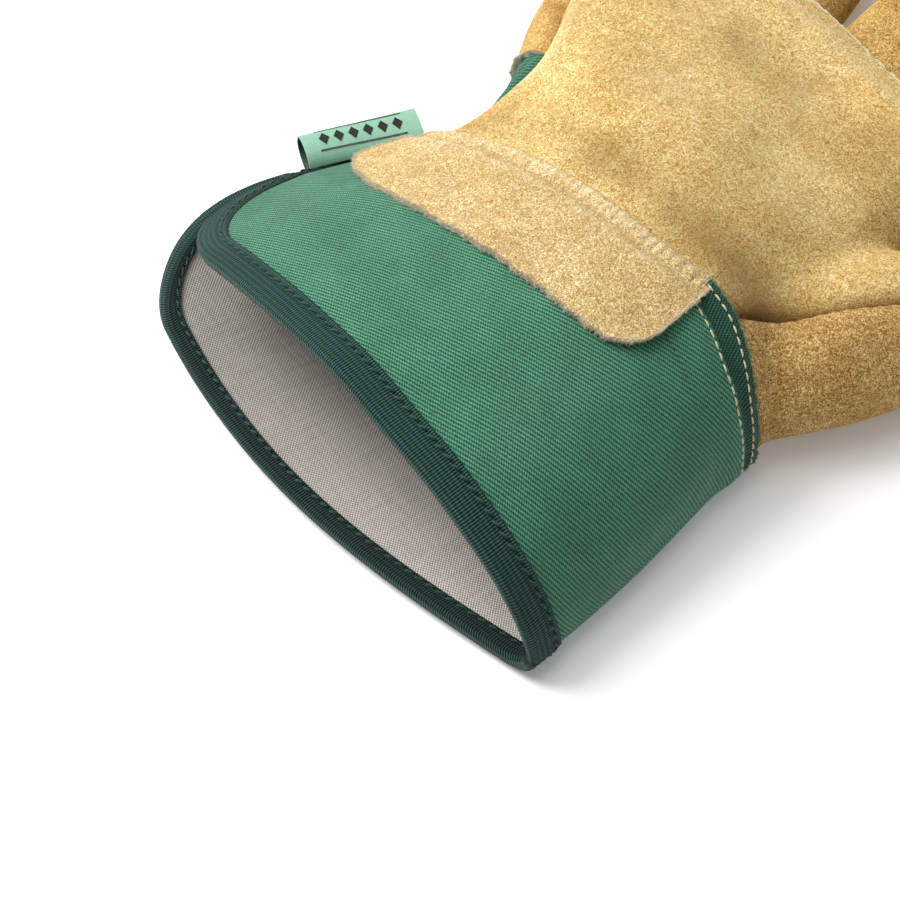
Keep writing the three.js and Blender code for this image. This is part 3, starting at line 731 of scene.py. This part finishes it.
def build_patch():
    """The patch: a lapped joint to the palm with a sewn groove, puckered, and a raw free edge."""
    q = (1 - np.cos(np.linspace(0, np.pi, 321))) / 2
    flat = np.stack([patch_point(q, 0.0, 0.0), patch_point(q, 1.0, 0.0)], 1)
    length = np.linalg.norm(flat[:, 1] - flat[:, 0], axis=1)[:, None]
    share = np.concatenate([np.linspace(0, 0.3, 46), np.linspace(0.3, 1, 60)[1:]])[None, :]
    depth = np.broadcast_to(share, (len(q), share.shape[1]))
    across = np.broadcast_to(q[:, None], depth.shape)
    height, tuck, wear_and_shade = patch_relief(depth * length, run_length(flat[:, :1], 0), across)
    outer = patch_point(across, depth, -height)
    soft = smoothstep(np.minimum(across, 1 - across) * 12 + (1 - depth) * 4, 0.2, 1.5)
    outer[..., 2] += ripples(outer, 13.0, 11) * 0.2 * soft
    inner = patch_point(across, depth, 0.1 + 0.5 * tuck)
    patch = layer_solid("wrist_patch", outer, inner, False, outer, [PATCH_SUEDE, RAW_EDGE], 1, wear_and_shade)
    sewn_rim = 2 * (depth.shape[0] - 1) * (depth.shape[1] - 1)
    for face in patch.data.polygons[sewn_rim:sewn_rim + depth.shape[0] - 1]:
        face.material_index = 0
    place(patch, "patch_suede", "pulse_patch")
    first, last = outer[0, 20:], outer[-1, 20:]
    free = outer[:, -1]
    edge = np.concatenate([free, (free + inner[:, -1]) / 2, first, last])
    away = unit(np.concatenate([free - outer[:, -3]] * 2 + [first - outer[2, 20:], last - outer[-3, 20:]]))
    fuzz = loose_fibres("wrist_patch_fuzz", edge, away, count=9000, length=0.95, radius=0.06,
                        material=FUZZ, seed=21)
    place(fuzz, "patch_suede")
    hand_edge = outer[8:-8, 2:18:3].reshape(-1, 3)
    up = np.tile((0.25, 0.0, 1.0), (len(hand_edge), 1))
    fuzz = loose_fibres("wrist_joint_fuzz", hand_edge, up, count=700, length=0.6, radius=0.04,
                        material=FUZZ, seed=22)
    place(fuzz, "patch_suede")


def strip_point(side, back, inset):
    """Points of the wrist strip: back is millimetres back from the joint."""
    return sleeve(junction_x(side) - back, side, inset)


def strip_layer(name, side, back, height, sunk, material):
    """A closed layer over the strip's place, kept off the floor."""
    outer = above_floor(strip_point(side, back, -height), 0.0)
    inner = above_floor(strip_point(side, back, sunk), 0.15)
    return layer_solid(name, outer, inner, False, weave_grid(outer, side), [material]), outer


def build_strip():
    """Sunk twill strip between the cuff's folded edge and the leather, with two rows of cream stitches."""
    side = np.linspace(0.3, -0.12, 100)[:, None]
    fold = curve_value(STRIP_BACK, side)
    share = np.linspace(0, 1, 12)[None, :]
    start = fold + 9.0
    hem_back = start + (fold - 0.7 - start) * share
    hem, _ = strip_layer("cuff_folded_edge", side, hem_back, 0.02 + 0.78 * smoothstep(share, 0.0, 0.75),
                         0.03, CUFF_TWILL)
    place(hem, "cuff_twill")
    back = (fold + 0.6) * (1 - share) - 0.5 * share
    fray = 0.25 * np.sin(side * 331.0) * np.sin(side * 97.0) * (share > 0.99)
    strip, outer = strip_layer("wrist_twill_strip", side, back + fray,
                               0.15 + 0.8 * smoothstep(share, 0.4, 0.7), 0.02, STRIP_TWILL)
    place(strip, "strip_twill", "wrist_strip")
    side = side[:, 0]
    for name, at, lift in (("strip_stitches_cuff_side", fold[:, 0], 0.8),
                           ("strip_stitches_hand_side", 1.0 + 0.35 * smoothstep(-side, -0.3, -0.1), 0.95)):
        path = strip_point(side, at, -lift)
        other = strip_point(side, at, -lift - 1.0)
        row = thread_stitches(name, path, other - path, pitch=2.45, length=1.95, radius=0.2,
                              material=CREAM_THREAD, sink=0.08)
        place(row, "strip_twill")
    clear = outer[:, -1, 2] > 2.0
    edge = outer[clear, -1]
    away = unit(edge - outer[clear, -3])
    fray = loose_fibres("wrist_strip_fray", edge, away, count=700, length=1.0, radius=0.05,
                        material=GREEN_FUZZ, seed=23)
    place(fray, "strip_twill")


def above_floor(points, least):
    """The same points, none lower than `least` millimetres."""
    points[..., 2] = np.maximum(points[..., 2], least)
    return points


# ---- Hand ----
def closed_tube(rows):
    """Points and faces of a closed surface through rings, with a fan at each end."""
    count = rows.shape[1]
    points = rows.reshape(-1, 3)
    hubs = np.stack([rows[0].mean(0), rows[-1].mean(0)])
    faces = []
    for i in range(len(rows) - 1):
        for j in range(count):
            k = (j + 1) % count
            faces.append((i * count + j, (i + 1) * count + j, (i + 1) * count + k, i * count + k))
    first, last = len(points), len(points) + 1
    end = (len(rows) - 1) * count
    for j in range(count):
        k = (j + 1) % count
        faces.append((first, j, k))
        faces.append((last, end + k, end + j))
    return np.concatenate([points, hubs]), faces


def thumb_point(t):
    share = np.linspace(0, 1, len(THUMB_LINE))
    return [curve_value(np.stack([share, column], 1), t) for column in THUMB_LINE.T]


def thumb_centre(t):
    """Point and heading of the thumb's middle line, t from 0 to 1."""
    (x, y), (next_x, next_y) = thumb_point(t), thumb_point(t + 1e-3)
    return x, y, math.atan2(next_y - y, next_x - x)


def tube_ring(x, y, turn, half, height, lift, sides=72):
    angle = np.linspace(0, 2 * np.pi, sides + 1)[:-1]
    side = np.sign(np.cos(angle)) * np.abs(np.cos(angle)) ** 0.9 * half
    up = np.sign(np.sin(angle)) * np.abs(np.sin(angle)) ** 0.9 * height / 2
    return np.stack([x - np.sin(turn) * side, y + np.cos(turn) * side, lift + height / 2 + up], -1)


def tip_shrink(s, length, round_off):
    q = np.clip((s - length + round_off) / round_off, 0, 1)
    return np.sqrt(np.maximum(1 - q * q, 0.0015))


def tip_spacing(start, length, round_off, straight, tip):
    """Places along a digit: even up to where its tip rounds off, then closer and closer."""
    bend = length - round_off
    rounded = bend + np.sin(np.linspace(0, np.pi / 2, tip))[1:] * round_off
    return np.concatenate([np.linspace(start, bend, straight), rounded])


def hand_body():
    """One skin for hand and thumb: two closed tubes merged, with the fold between them softened."""
    side = np.linspace(0, 2, 161)[:-1]
    hand = np.stack([sleeve(x, side, 0.0) for x in np.linspace(52, 158, 60)])
    thumb = []
    at = np.linspace(0, 1, len(THUMB_HALF))
    for t in tip_spacing(0.0, 0.999, 0.1, 50, 12):
        x, y, turn = thumb_centre(t)
        shrink = tip_shrink(t, 1.0, 0.1)
        half = np.interp(t, at, THUMB_HALF) * shrink
        full = np.interp(t, at, THUMB_HEIGHT)
        thumb.append(tube_ring(x, y, turn, half, full * shrink, full * (1 - shrink) / 2))
    points, faces = closed_tube(hand)
    more_points, more_faces = closed_tube(np.array(thumb))
    faces += [tuple(i + len(points) for i in f) for f in more_faces]
    mesh = bpy.data.meshes.new("skin")
    mesh.from_pydata(np.concatenate([points, more_points]).tolist(), [], faces)
    body = add_object("skin", mesh)
    remesh = body.modifiers.new("remesh", "REMESH")
    remesh.mode = "VOXEL"
    remesh.voxel_size = 1.15
    smooth = body.modifiers.new("smooth", "SMOOTH")
    smooth.factor = 0.5
    smooth.iterations = 10
    bpy.context.view_layer.update()
    depsgraph = bpy.context.evaluated_depsgraph_get()
    result = bpy.data.meshes.new_from_object(body.evaluated_get(depsgraph))
    bpy.data.objects.remove(body)
    soften_thumb_fold(result)
    return result


def soften_thumb_fold(mesh):
    """Averages the skin with its neighbours, many times, where the thumb rises out of the palm."""
    points, _ = mesh_arrays(mesh)
    ends = np.empty(len(mesh.edges) * 2, int)
    mesh.edges.foreach_get("vertices", ends)
    a, b = ends.reshape(-1, 2).T
    degree = np.bincount(np.concatenate([a, b]), minlength=len(points))[:, None]
    x, y, z = points.T
    across = np.abs(y - curve_value(NEAR_SEAM, x) - 5)
    weight = (1 - smoothstep(across, 10, 24)) * (z > 9)
    weight = weight * smoothstep(x, 66, 84) * (1 - smoothstep(x, 150, 170))
    for _ in range(60):
        total = np.zeros_like(points)
        for c in range(3):
            total[:, c] = np.bincount(a, points[b, c], len(points))
            total[:, c] += np.bincount(b, points[a, c], len(points))
        points += (total / degree - points) * 0.5 * weight[:, None]
    mesh.vertices.foreach_set("co", points.astype(np.float32).ravel())
    mesh.update()


def mesh_arrays(mesh):
    count = len(mesh.vertices)
    points, normals = np.empty(count * 3), np.empty(count * 3)
    mesh.vertices.foreach_get("co", points)
    mesh.vertices.foreach_get("normal", normals)
    return points.reshape(-1, 3), normals.reshape(-1, 3)


def shape_hand(points, normals):
    """The rolled palm end and the soft unevenness of worn leather."""
    x, y, z = points.T
    upper = z > palm_side(x)
    ahead = x - curve_value(KNUCKLES, y)
    inside = (y > -24) & (y < 86)
    move = np.where(upper & inside, 1.3 * hump(ahead, -6, 5.0) - 0.7 * hump(ahead, -20, 8.0), 0)
    raised = np.clip((z - 2.0) / 8, 0, 1)
    near_gap, far_gap = y - curve_value(NEAR_SEAM, x), y - curve_value(FAR_SEAM, x)
    move += np.where(upper & (near_gap < 0), 0.9 * hump(near_gap, -7, 5.0), 0) * (1 - smoothstep(x, 105, 130))
    move += np.where(upper & (x < 150), 0.8 * hump(far_gap, -5, 3.5), 0)
    move += ripples(points, 42.0, 5) * 0.9 * raised * smoothstep(x, 72, 92)
    move += ripples(points, 17.0, 6) * 0.3 * raised
    return points + normals * move[:, None]


def seam_valleys(points, normals):
    """Sinks the skin sharply along its turned seams, and gives the nap's wear and shade: painted shade along
    the seams, rubbed nap beside the far seam and at the palm's end, and darker and paler patches over the
    palm.
    """
    x, y, z = points.T
    upper = z > VALLEY_HEIGHT - SIDE_FALL * x
    far_gap = y - curve_value(FAR_SEAM, x)
    near_gap = y - curve_value(NEAR_SEAM, x)
    far = np.where(upper & (x < 150), 2.4 * np.exp(-np.abs(far_gap) / np.where(far_gap < 0, 0.9, 2.2)), 0)
    fade = (1 - 0.45 * smoothstep(x, 118, 145)) * (1 - smoothstep(x, 162, 176))
    by_thumb = upper & (y < -20)
    near = np.where(by_thumb, 2.5 * np.exp(-np.abs(near_gap) / np.where(near_gap < 0, 0.7, 1.5)), 0)
    # Painted shade in the thumb seam's valley, on both sides of it.
    wear_and_shade = np.where(by_thumb & (near_gap > 0), -0.75 * np.exp(-near_gap / 1.0), 0)
    wear_and_shade += np.where(by_thumb & (near_gap <= 0), -0.7 * np.exp(near_gap / 0.5), 0)
    wear_and_shade *= fade
    # Painted shade on the strap side of the far seam's valley; rubbed, paler nap on the palm's edge beside
    # it.
    wear_and_shade += np.where(upper & (far_gap > 0), -0.5 * np.exp(-far_gap / 1.8), 0)
    wear_and_shade += np.where(upper & (far_gap <= 0), 0.25 * hump(far_gap, -3.5, 2.5), 0)
    # Rubbed, paler nap along the palm's rolled end.
    ahead = x - curve_value(KNUCKLES, y)
    wear_and_shade += np.where(upper & (y > -24) & (y < 84), 0.3 * hump(ahead, -5, 3.5), 0)
    # Over the palm: a darker band just past the joint, darker and paler patches, and slightly darker towards
    # the thumb side.
    on_palm = upper & (near_gap > 0) & (far_gap < 0)
    cloud = ripples(points, 38.0, 41)
    at_joint = hump(x - junction_at(y), 8, 7.0)
    wear_and_shade += np.where(on_palm, -0.34 * at_joint * (0.8 + 0.4 * cloud), 0)
    wear_and_shade += np.where(on_palm, -0.20 * np.clip(cloud - 0.2, 0, 1) - 0.04 * smoothstep(-y, -20, 25), 0)
    wear_and_shade += np.where(on_palm, 0.22 * np.clip(-cloud - 0.2, 0, 1), 0)
    return points - normals * (far + near * fade)[:, None], wear_and_shade


def warp_cut(bm, axis, curve):
    """Splits every face along the surface where coordinate `axis` equals curve(point)."""
    for v in bm.verts:
        v.co[axis] -= curve(v.co)
    normal = [0.0, 0.0, 0.0]
    normal[axis] = 1.0
    bmesh.ops.bisect_plane(bm, geom=bm.verts[:] + bm.edges[:] + bm.faces[:], dist=1e-5,
                           plane_co=(0, 0, 0), plane_no=normal)
    for v in bm.verts:
        v.co[axis] += curve(v.co)


def curve_table(table, low, high, count=600):
    """Fast lookup of a smooth curve."""
    xs = np.linspace(low, high, count)
    vs = curve_value(table, xs)
    scale = (count - 1) / (high - low)

    def value(at):
        q = min(max((at - low) * scale, 0.0), count - 1.001)
        i = int(q)
        return vs[i] + (vs[i + 1] - vs[i]) * (q - i)
    return value


far_seam_at = curve_table(FAR_SEAM, 50, 160)
near_seam_at = curve_table(NEAR_SEAM, 60, 190)
knuckle_at = curve_table(KNUCKLES, -60, 110)
THUMB_X, THUMB_Y, THUMB_TURN = thumb_centre(0.5)


def thumb_along(x, y):
    return (x - THUMB_X) * math.cos(THUMB_TURN) + (y - THUMB_Y) * math.sin(THUMB_TURN)


def piece_of(c):
    """Which piece of the hand a face at c belongs to."""
    x, y, z = c
    if x < junction_at(y):
        return None
    if thumb_along(x, y) > 0 and y < THUMB_LIMIT:
        return "thumb_front" if y > near_seam_at(x) and z > THUMB_SPLIT - 4 else "thumb_side"
    if x > knuckle_at(y):
        return None
    if z > palm_side(x) and near_seam_at(x) < y < far_seam_at(x):
        return "palm"
    if y < GUSSET_LINE and thumb_along(x, y) <= 0:
        return "thumb_side"
    return "strap" if x > STRAP_START else "back"


def split_hand(mesh):
    """Cuts the skin along its seams and returns the points, normals and faces of each piece."""
    bm = bmesh.new()
    bm.from_mesh(mesh)
    slope = -math.tan(THUMB_TURN)
    for axis, curve in ((1, lambda co: far_seam_at(co.x)),
                        (1, lambda co: near_seam_at(co.x)),
                        (2, lambda co: palm_side(co.x)),
                        (0, lambda co: knuckle_at(co.y)),
                        (0, lambda co: junction_at(co.y)),
                        (0, lambda co: STRAP_START),
                        (1, lambda co: GUSSET_LINE),
                        (1, lambda co: THUMB_LIMIT),
                        (2, lambda co: THUMB_SPLIT - 4),
                        (0, lambda co: THUMB_X + slope * (co.y - THUMB_Y))):
        warp_cut(bm, axis, curve)
    bmesh.ops.remove_doubles(bm, verts=bm.verts, dist=0.02)
    bm.normal_update()
    bm.verts.index_update()
    points = np.array([v.co[:] for v in bm.verts])
    normals = np.array([v.normal[:] for v in bm.verts])
    pieces = {}
    for face in bm.faces:
        name = piece_of(face.calc_center_median())
        if name:
            pieces.setdefault(name, []).append([v.index for v in face.verts])
    bm.free()
    return points, normals, pieces


def open_edges(faces):
    """The edges that only one of the faces has, each in that face's direction."""
    edges = {}
    for face in faces:
        for a, b in zip(face, face[1:] + face[:1]):
            if (b, a) in edges:
                edges.pop((b, a))
            else:
                edges[(a, b)] = True
    return list(edges)


def skin_piece(name, points, normals, faces, outset, thick, materials, rim=0, wear_and_shade=None):
    """A closed solid from part of the skin, thickened inwards."""
    used = np.unique([i for f in faces for i in f])
    where = {int(old): new for new, old in enumerate(used)}
    outer = points[used] + normals[used] * outset
    inner = outer - normals[used] * thick
    faces = [[where[i] for i in f] for f in faces]
    count = len(used)
    rims = [(b, a, a + count, b + count) for a, b in open_edges(faces)]
    solid = [tuple(f) for f in faces] + [tuple(i + count for i in reversed(f)) for f in faces] + rims
    index = [0] * (2 * len(faces)) + [rim] * len(rims)
    cloth = np.concatenate([outer, outer])
    worn_and_shaded = None if wear_and_shade is None else np.concatenate([wear_and_shade[used]] * 2)
    return make_object(name, np.concatenate([outer, inner]), solid, cloth, index, materials, worn_and_shaded)


def cut_edge(points, normals, faces, chosen, order):
    """The chosen boundary points of some faces, sorted by order, evenly spaced and smoothed."""
    border = np.unique([i for pair in open_edges(faces) for i in pair])
    border = border[chosen[border]]
    border = border[np.argsort(order[border])]
    path, up = points[border], normals[border]
    distance = run_length(path, 0)
    even = np.arange(0, distance[-1], 0.7)
    path, up = (np.stack([np.interp(even, distance, v[:, c]) for c in range(3)], 1) for v in (path, up))
    for _ in range(3):
        path[1:-1] = (path[:-2] + 2 * path[1:-1] + path[2:]) / 4
    return path, unit(up)


def gather_back(points, normals):
    """The skin with fine folds along the hand, drawn in by the elastic."""
    x, y, _ = points.T
    wander = 1.6 * np.sin(y * 0.31) + 0.02 * (x - ELASTIC_X) ** 2 * 0.3
    folds = 0.5 + 0.5 * np.sin(y * 2 * np.pi / 4.6 + wander)
    return points - normals * (0.9 * hump(x, ELASTIC_X, 9.0) * folds)[:, None]


def metres(point):
    return tuple(float(v) for v in (np.array(point, float) + ORIGIN) / 1000.0)


def build_hand():
    mesh = hand_body()
    points, normals = mesh_arrays(mesh)
    mesh.vertices.foreach_set("co", shape_hand(points, normals).astype(np.float32).ravel())
    mesh.update()
    points, normals, pieces = split_hand(mesh)
    bpy.data.meshes.remove(mesh)
    points, wear_and_shade = seam_valleys(points, normals)

    def leather(name, piece, *materials):
        return skin_piece(name, points, normals, pieces[piece], 0.0, LEATHER, materials,
                          len(materials) - 1, wear_and_shade)

    place(leather("palm_leather", "palm", PALM_SUEDE), "palm_suede", "palm_panel")
    lining = skin_piece("palm_canvas_lining", points, normals, pieces["palm"], -LEATHER - LAYER_GAP, CANVAS,
                        [LINING])
    place(lining, "lining_canvas", "palm_lining")
    strap = leather("knuckle_strap_leather", "strap", BACK_SUEDE, RAW_EDGE)
    place(strap, "strap_suede", "knuckle_strap")
    back = skin_piece("back_twill_panel", gather_back(points, normals), normals, pieces["back"], -0.9, TWILL,
                      [BACK_TWILL])
    place(back, "back_twill", "back_panel")
    side = leather("thumb_side_leather", "thumb_side", THUMB_SUEDE, RAW_EDGE)
    front = leather("thumb_front_leather", "thumb_front", THUMB_SUEDE, RAW_EDGE)
    for obj, nodes in ((side, ("thumb_gusset", "thumb_back")), (front, ("thumb_front",))):
        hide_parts(*nodes)
        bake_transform(obj)
    build_raw_edges(points, normals, pieces)
    build_elastic()


def build_elastic():
    """Flat elastic sewn inside the twill back, drawing it in just past the cuff."""
    side = np.linspace(1.22, 1.80, 120)[:, None]
    x = np.linspace(ELASTIC_X - 2.5, ELASTIC_X + 3.5, 9)[None, :]
    wave = 0.35 * np.sin(side * 180.0)
    outer = sleeve(x, side, 3.1 + wave)
    inner = sleeve(x, side, 3.8 + wave)
    band = layer_solid("back_elastic_band", outer, inner, False, weave_grid(outer, side), [ELASTIC_WEB])
    place(band, "elastic", "back_elastic")


def build_raw_edges(points, normals, pieces):
    """Thick cut edges that stand up: the palm's end over the fingers, and the strap's over the twill."""
    x, y, z = points.T
    palm_end = (np.abs(x - curve_value(KNUCKLES, y)) < 0.05) & (z > 12) & (y > -23) & (y < 79)
    strap_start = (np.abs(x - STRAP_START) < 0.05) & (y > GUSSET_LINE + 2) & ((z > 9) | (y > 50))
    specs = (("palm_end_edge", "palm", palm_end, y, (0.7, 0.0, 0.7), 0.55, 0.7, "palm_suede", 31),
             ("strap_cut_edge", "strap", strap_start, z + 0.2 * y, (-1.0, 0.0, 0.0), 0.15, 0.75,
              "strap_suede", 32))
    for name, piece, chosen, order, ahead, sink, radius, slot, seed in specs:
        path, up = cut_edge(points, normals, pieces[piece], chosen, order)
        side = np.tile(ahead, (len(path), 1))
        path = path - up * sink
        place(edge_roll(name, path, up, side, radius, [RAW_EDGE], seed), slot)
        fuzz = loose_fibres(name + "_fuzz", path, side + up * 0.8, count=len(path) * 14, length=0.9,
                            radius=0.05, material=FUZZ, seed=seed + 10)
        place(fuzz, slot)


# ---- Fingers ----
def finger_half(name, front):
    (rx, ry), degrees, length, halves, heights = FINGERS[name]
    turn = math.radians(degrees)
    start = -5.0
    s = tip_spacing(start, length, halves[1] * 1.05, 90, 22)
    angle = np.linspace(0, np.pi, 61) + (0 if front else np.pi)
    grid_s, grid_a = np.meshgrid(s, angle, indexing="ij")
    t = np.clip(grid_s / length, 0, 1)
    shrink = tip_shrink(grid_s, length, halves[1] * 1.05)

    def surface(inset):
        half = halves[0] + (halves[1] - halves[0]) * t
        full = heights[0] + (heights[1] - heights[0]) * t
        tuck = 1 - 0.10 * smoothstep(4 - grid_s, 0, 8)
        crease = sum(d * hump(grid_s, c * length, 2.6)
                     for c, d in ((0.40, 0.9), (0.46, 0.5), (0.70, 0.8))) * (1.0 if front else 0.25)
        seam = 1.1 * hump(np.minimum(grid_a % np.pi, np.pi - grid_a % np.pi), 0.0, 0.16)
        seam *= smoothstep(length - grid_s, 1, 8)
        wide = (half - inset - seam) * shrink * tuck
        tall = (full / 2 - inset - crease * np.abs(np.sin(grid_a)) - seam * 0.2) * shrink * tuck
        c, n = np.cos(grid_a), np.sin(grid_a)
        lateral = np.sign(c) * np.abs(c) ** 0.88 * wide
        up = np.sign(n) * np.abs(n) ** 0.88 * tall
        x = rx + math.cos(turn) * grid_s - math.sin(turn) * lateral
        y = ry + math.sin(turn) * grid_s + math.cos(turn) * lateral
        z = full / 2 + up
        points = np.stack([x, y, z], -1)
        points[..., 2] += ripples(points, 19.0, 31) * 0.4 * np.clip((points[..., 2] - 1) / 6, 0, 1) * shrink
        return points

    outer, inner = surface(0.0), surface(LEATHER)
    part = "front" if front else "back"
    obj = layer_solid(f"{name}_{part}_leather", outer, inner, False, outer, [BACK_SUEDE, RAW_EDGE], 1)
    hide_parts(f"{name}_{part}")
    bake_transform(obj)


# ---- Label ----
def build_label():
    """Ribbon folded into an open loop and caught in the side seam, with a plain printed pattern."""
    foot, end = sleeve(29.5, 1.0, 0.0), sleeve(55.0, 1.0, 0.0)
    along = (end - foot) / np.linalg.norm(end - foot)
    tilt = math.radians(14)
    out = np.array((0.0, math.cos(tilt), math.sin(tilt)))
    out -= along * (out @ along)
    out /= np.linalg.norm(out)
    over = np.cross(along, out)
    over *= np.sign(over[2])
    across = np.linspace(0, LABEL_WIDTH, 56)
    fat = 3.6 - 2.2 * smoothstep(across, -2, LABEL_WIDTH)
    angle = np.linspace(0, 2 * np.pi, 61)[None, 4:-4]
    half = LABEL_REACH * 0.5
    grids = []
    for shrink in (0.0, LABEL_THICK):
        q = half - 0.6 - (half - shrink) * np.cos(angle)
        p = (fat - shrink)[:, None] * np.sign(-np.sin(angle)) * np.abs(np.sin(angle)) ** 0.8
        grids.append(foot + along * across[:, None, None] + out * q[..., None] + over * p[..., None])
    outer, inner = grids
    cloth = np.stack([np.broadcast_to(across[:, None], outer.shape[:2]), run_length(outer, 1),
                      np.zeros(outer.shape[:2])], -1)
    # The loop's inner face is the near-black ribbon copy: painted shade inside the loop.
    label = layer_solid("side_label_ribbon", outer, inner, False, cloth, [RIBBON, RIBBON_SHADED_INSIDE], 0, None, 1)
    place(label, "label_ribbon", "side_label")
    build_label_print(outer, over)


def build_label_print(face, over):
    """A generic printed pattern: a band of plain lozenges between two thin lines."""
    rows, columns = face.shape[:2]
    points, faces = [], []

    def stamp(outline):
        base = len(points)
        for a, o in outline:
            i, j = a / LABEL_WIDTH * (rows - 1), columns - 1 - o * (columns - 1)
            i0, j0 = int(i), int(j)
            fi, fj = i - i0, j - j0
            p = (face[i0, j0] * (1 - fi) * (1 - fj) + face[i0 + 1, j0] * fi * (1 - fj)
                 + face[i0, j0 + 1] * (1 - fi) * fj + face[i0 + 1, j0 + 1] * fi * fj)
            points.append(p + over * 0.16)
        faces.append(tuple(range(base, len(points))))

    for n in range(6):
        a = 5.0 + n * 3.4
        stamp([(a - 1.2, 0.27), (a, 0.20), (a + 1.2, 0.27), (a, 0.34)])
    for o in (0.145, 0.385):
        for n in range(20):
            a = 3.4 + n
            stamp([(a, o), (a + 1.0, o), (a + 1.0, o + 0.014), (a, o + 0.014)])
    top = np.array(points)
    count = len(top)
    solid = faces + [tuple(i + count for i in reversed(f)) for f in faces]
    for f in faces:
        solid += [(a, b, b + count, a + count) for a, b in zip(f, f[1:] + f[:1])]
    both = np.concatenate([top, top - over * 0.05])
    place(make_object("side_label_print", both, solid, both, None, [PRINT]), "label_ribbon")


def build_stage():
    h = FLOOR_HALF
    mesh = bpy.data.meshes.new("floor")
    mesh.from_pydata([(-h, -h, 0), (h, -h, 0), (h, h, 0), (-h, h, 0)], [], [(0, 1, 2, 3)])
    floor = add_object("floor", mesh)
    floor.location.z = FLOOR_LEVEL
    paint = bpy.data.materials.new("floor_paint")
    paint.use_nodes = True
    surface = paint.node_tree.nodes["Principled BSDF"]
    for socket, value in (("Base Color", (0.92, 0.92, 0.925, 1)), ("Roughness", 0.9),
                          ("Specular IOR Level", 0.05), ("Emission Color", (1, 1, 1, 1)),
                          ("Emission Strength", 0.12)):
        surface.inputs[socket].default_value = value
    mesh.materials.append(paint)
    middle = Vector((np.array(CAD_BOX[0]) + np.array(CAD_BOX[1])) / 2)
    for name, offset, size, power in LAMPS:
        data = bpy.data.lights.new(name, "AREA")
        data.shape = "DISK"
        data.size = size
        data.energy = power
        lamp = add_object(name, data)
        lamp.location = middle + Vector(offset)
        lamp.rotation_euler = (-Vector(offset)).to_track_quat("-Z", "Y").to_euler()
    build_sky()
    bpy.context.scene.view_settings.view_transform = "Standard"


def build_sky():
    """A plain white dome, brighter overhead than at the horizon."""
    world = bpy.data.worlds.new("room")
    world.use_nodes = True
    tree = world.node_tree
    height = tree.nodes.new("ShaderNodeSeparateXYZ")
    tree.links.new(tree.nodes.new("ShaderNodeTexCoord").outputs["Generated"], height.inputs["Vector"])
    level = tree.nodes.new("ShaderNodeMapRange")
    for socket, value in (("From Min", 0.0), ("From Max", 1.0),
                          ("To Min", SKY_HORIZON), ("To Max", SKY_OVERHEAD)):
        level.inputs[socket].default_value = value
    tree.links.new(height.outputs["Z"], level.inputs["Value"])
    tree.nodes["Background"].inputs["Color"].default_value = (1, 1, 1, 1)
    tree.links.new(level.outputs["Result"], tree.nodes["Background"].inputs["Strength"])
    bpy.context.scene.world = world


def build_camera():
    azimuth, elevation = math.radians(CAMERA_AZIMUTH), math.radians(CAMERA_ELEVATION)
    ahead = Vector((-math.sin(azimuth), math.cos(azimuth), 0))
    back = -ahead * math.cos(elevation) + Vector((0, 0, math.sin(elevation)))
    data = bpy.data.cameras.new("camera")
    data.lens = CAMERA_LENS
    data.sensor_width = 36.0
    data.clip_start = 0.01
    camera = add_object("camera", data)
    camera.location = Vector(metres(CAMERA_TARGET)) + back * CAMERA_DISTANCE
    camera.rotation_euler = (-back).to_track_quat("-Z", "Y").to_euler()
    bpy.context.scene.camera = camera


build_stage()
build_camera()
build_cuff()
build_binding()
build_patch()
build_strip()
build_hand()
for finger in FINGERS:
    finger_half(finger, True)
    finger_half(finger, False)
build_label()
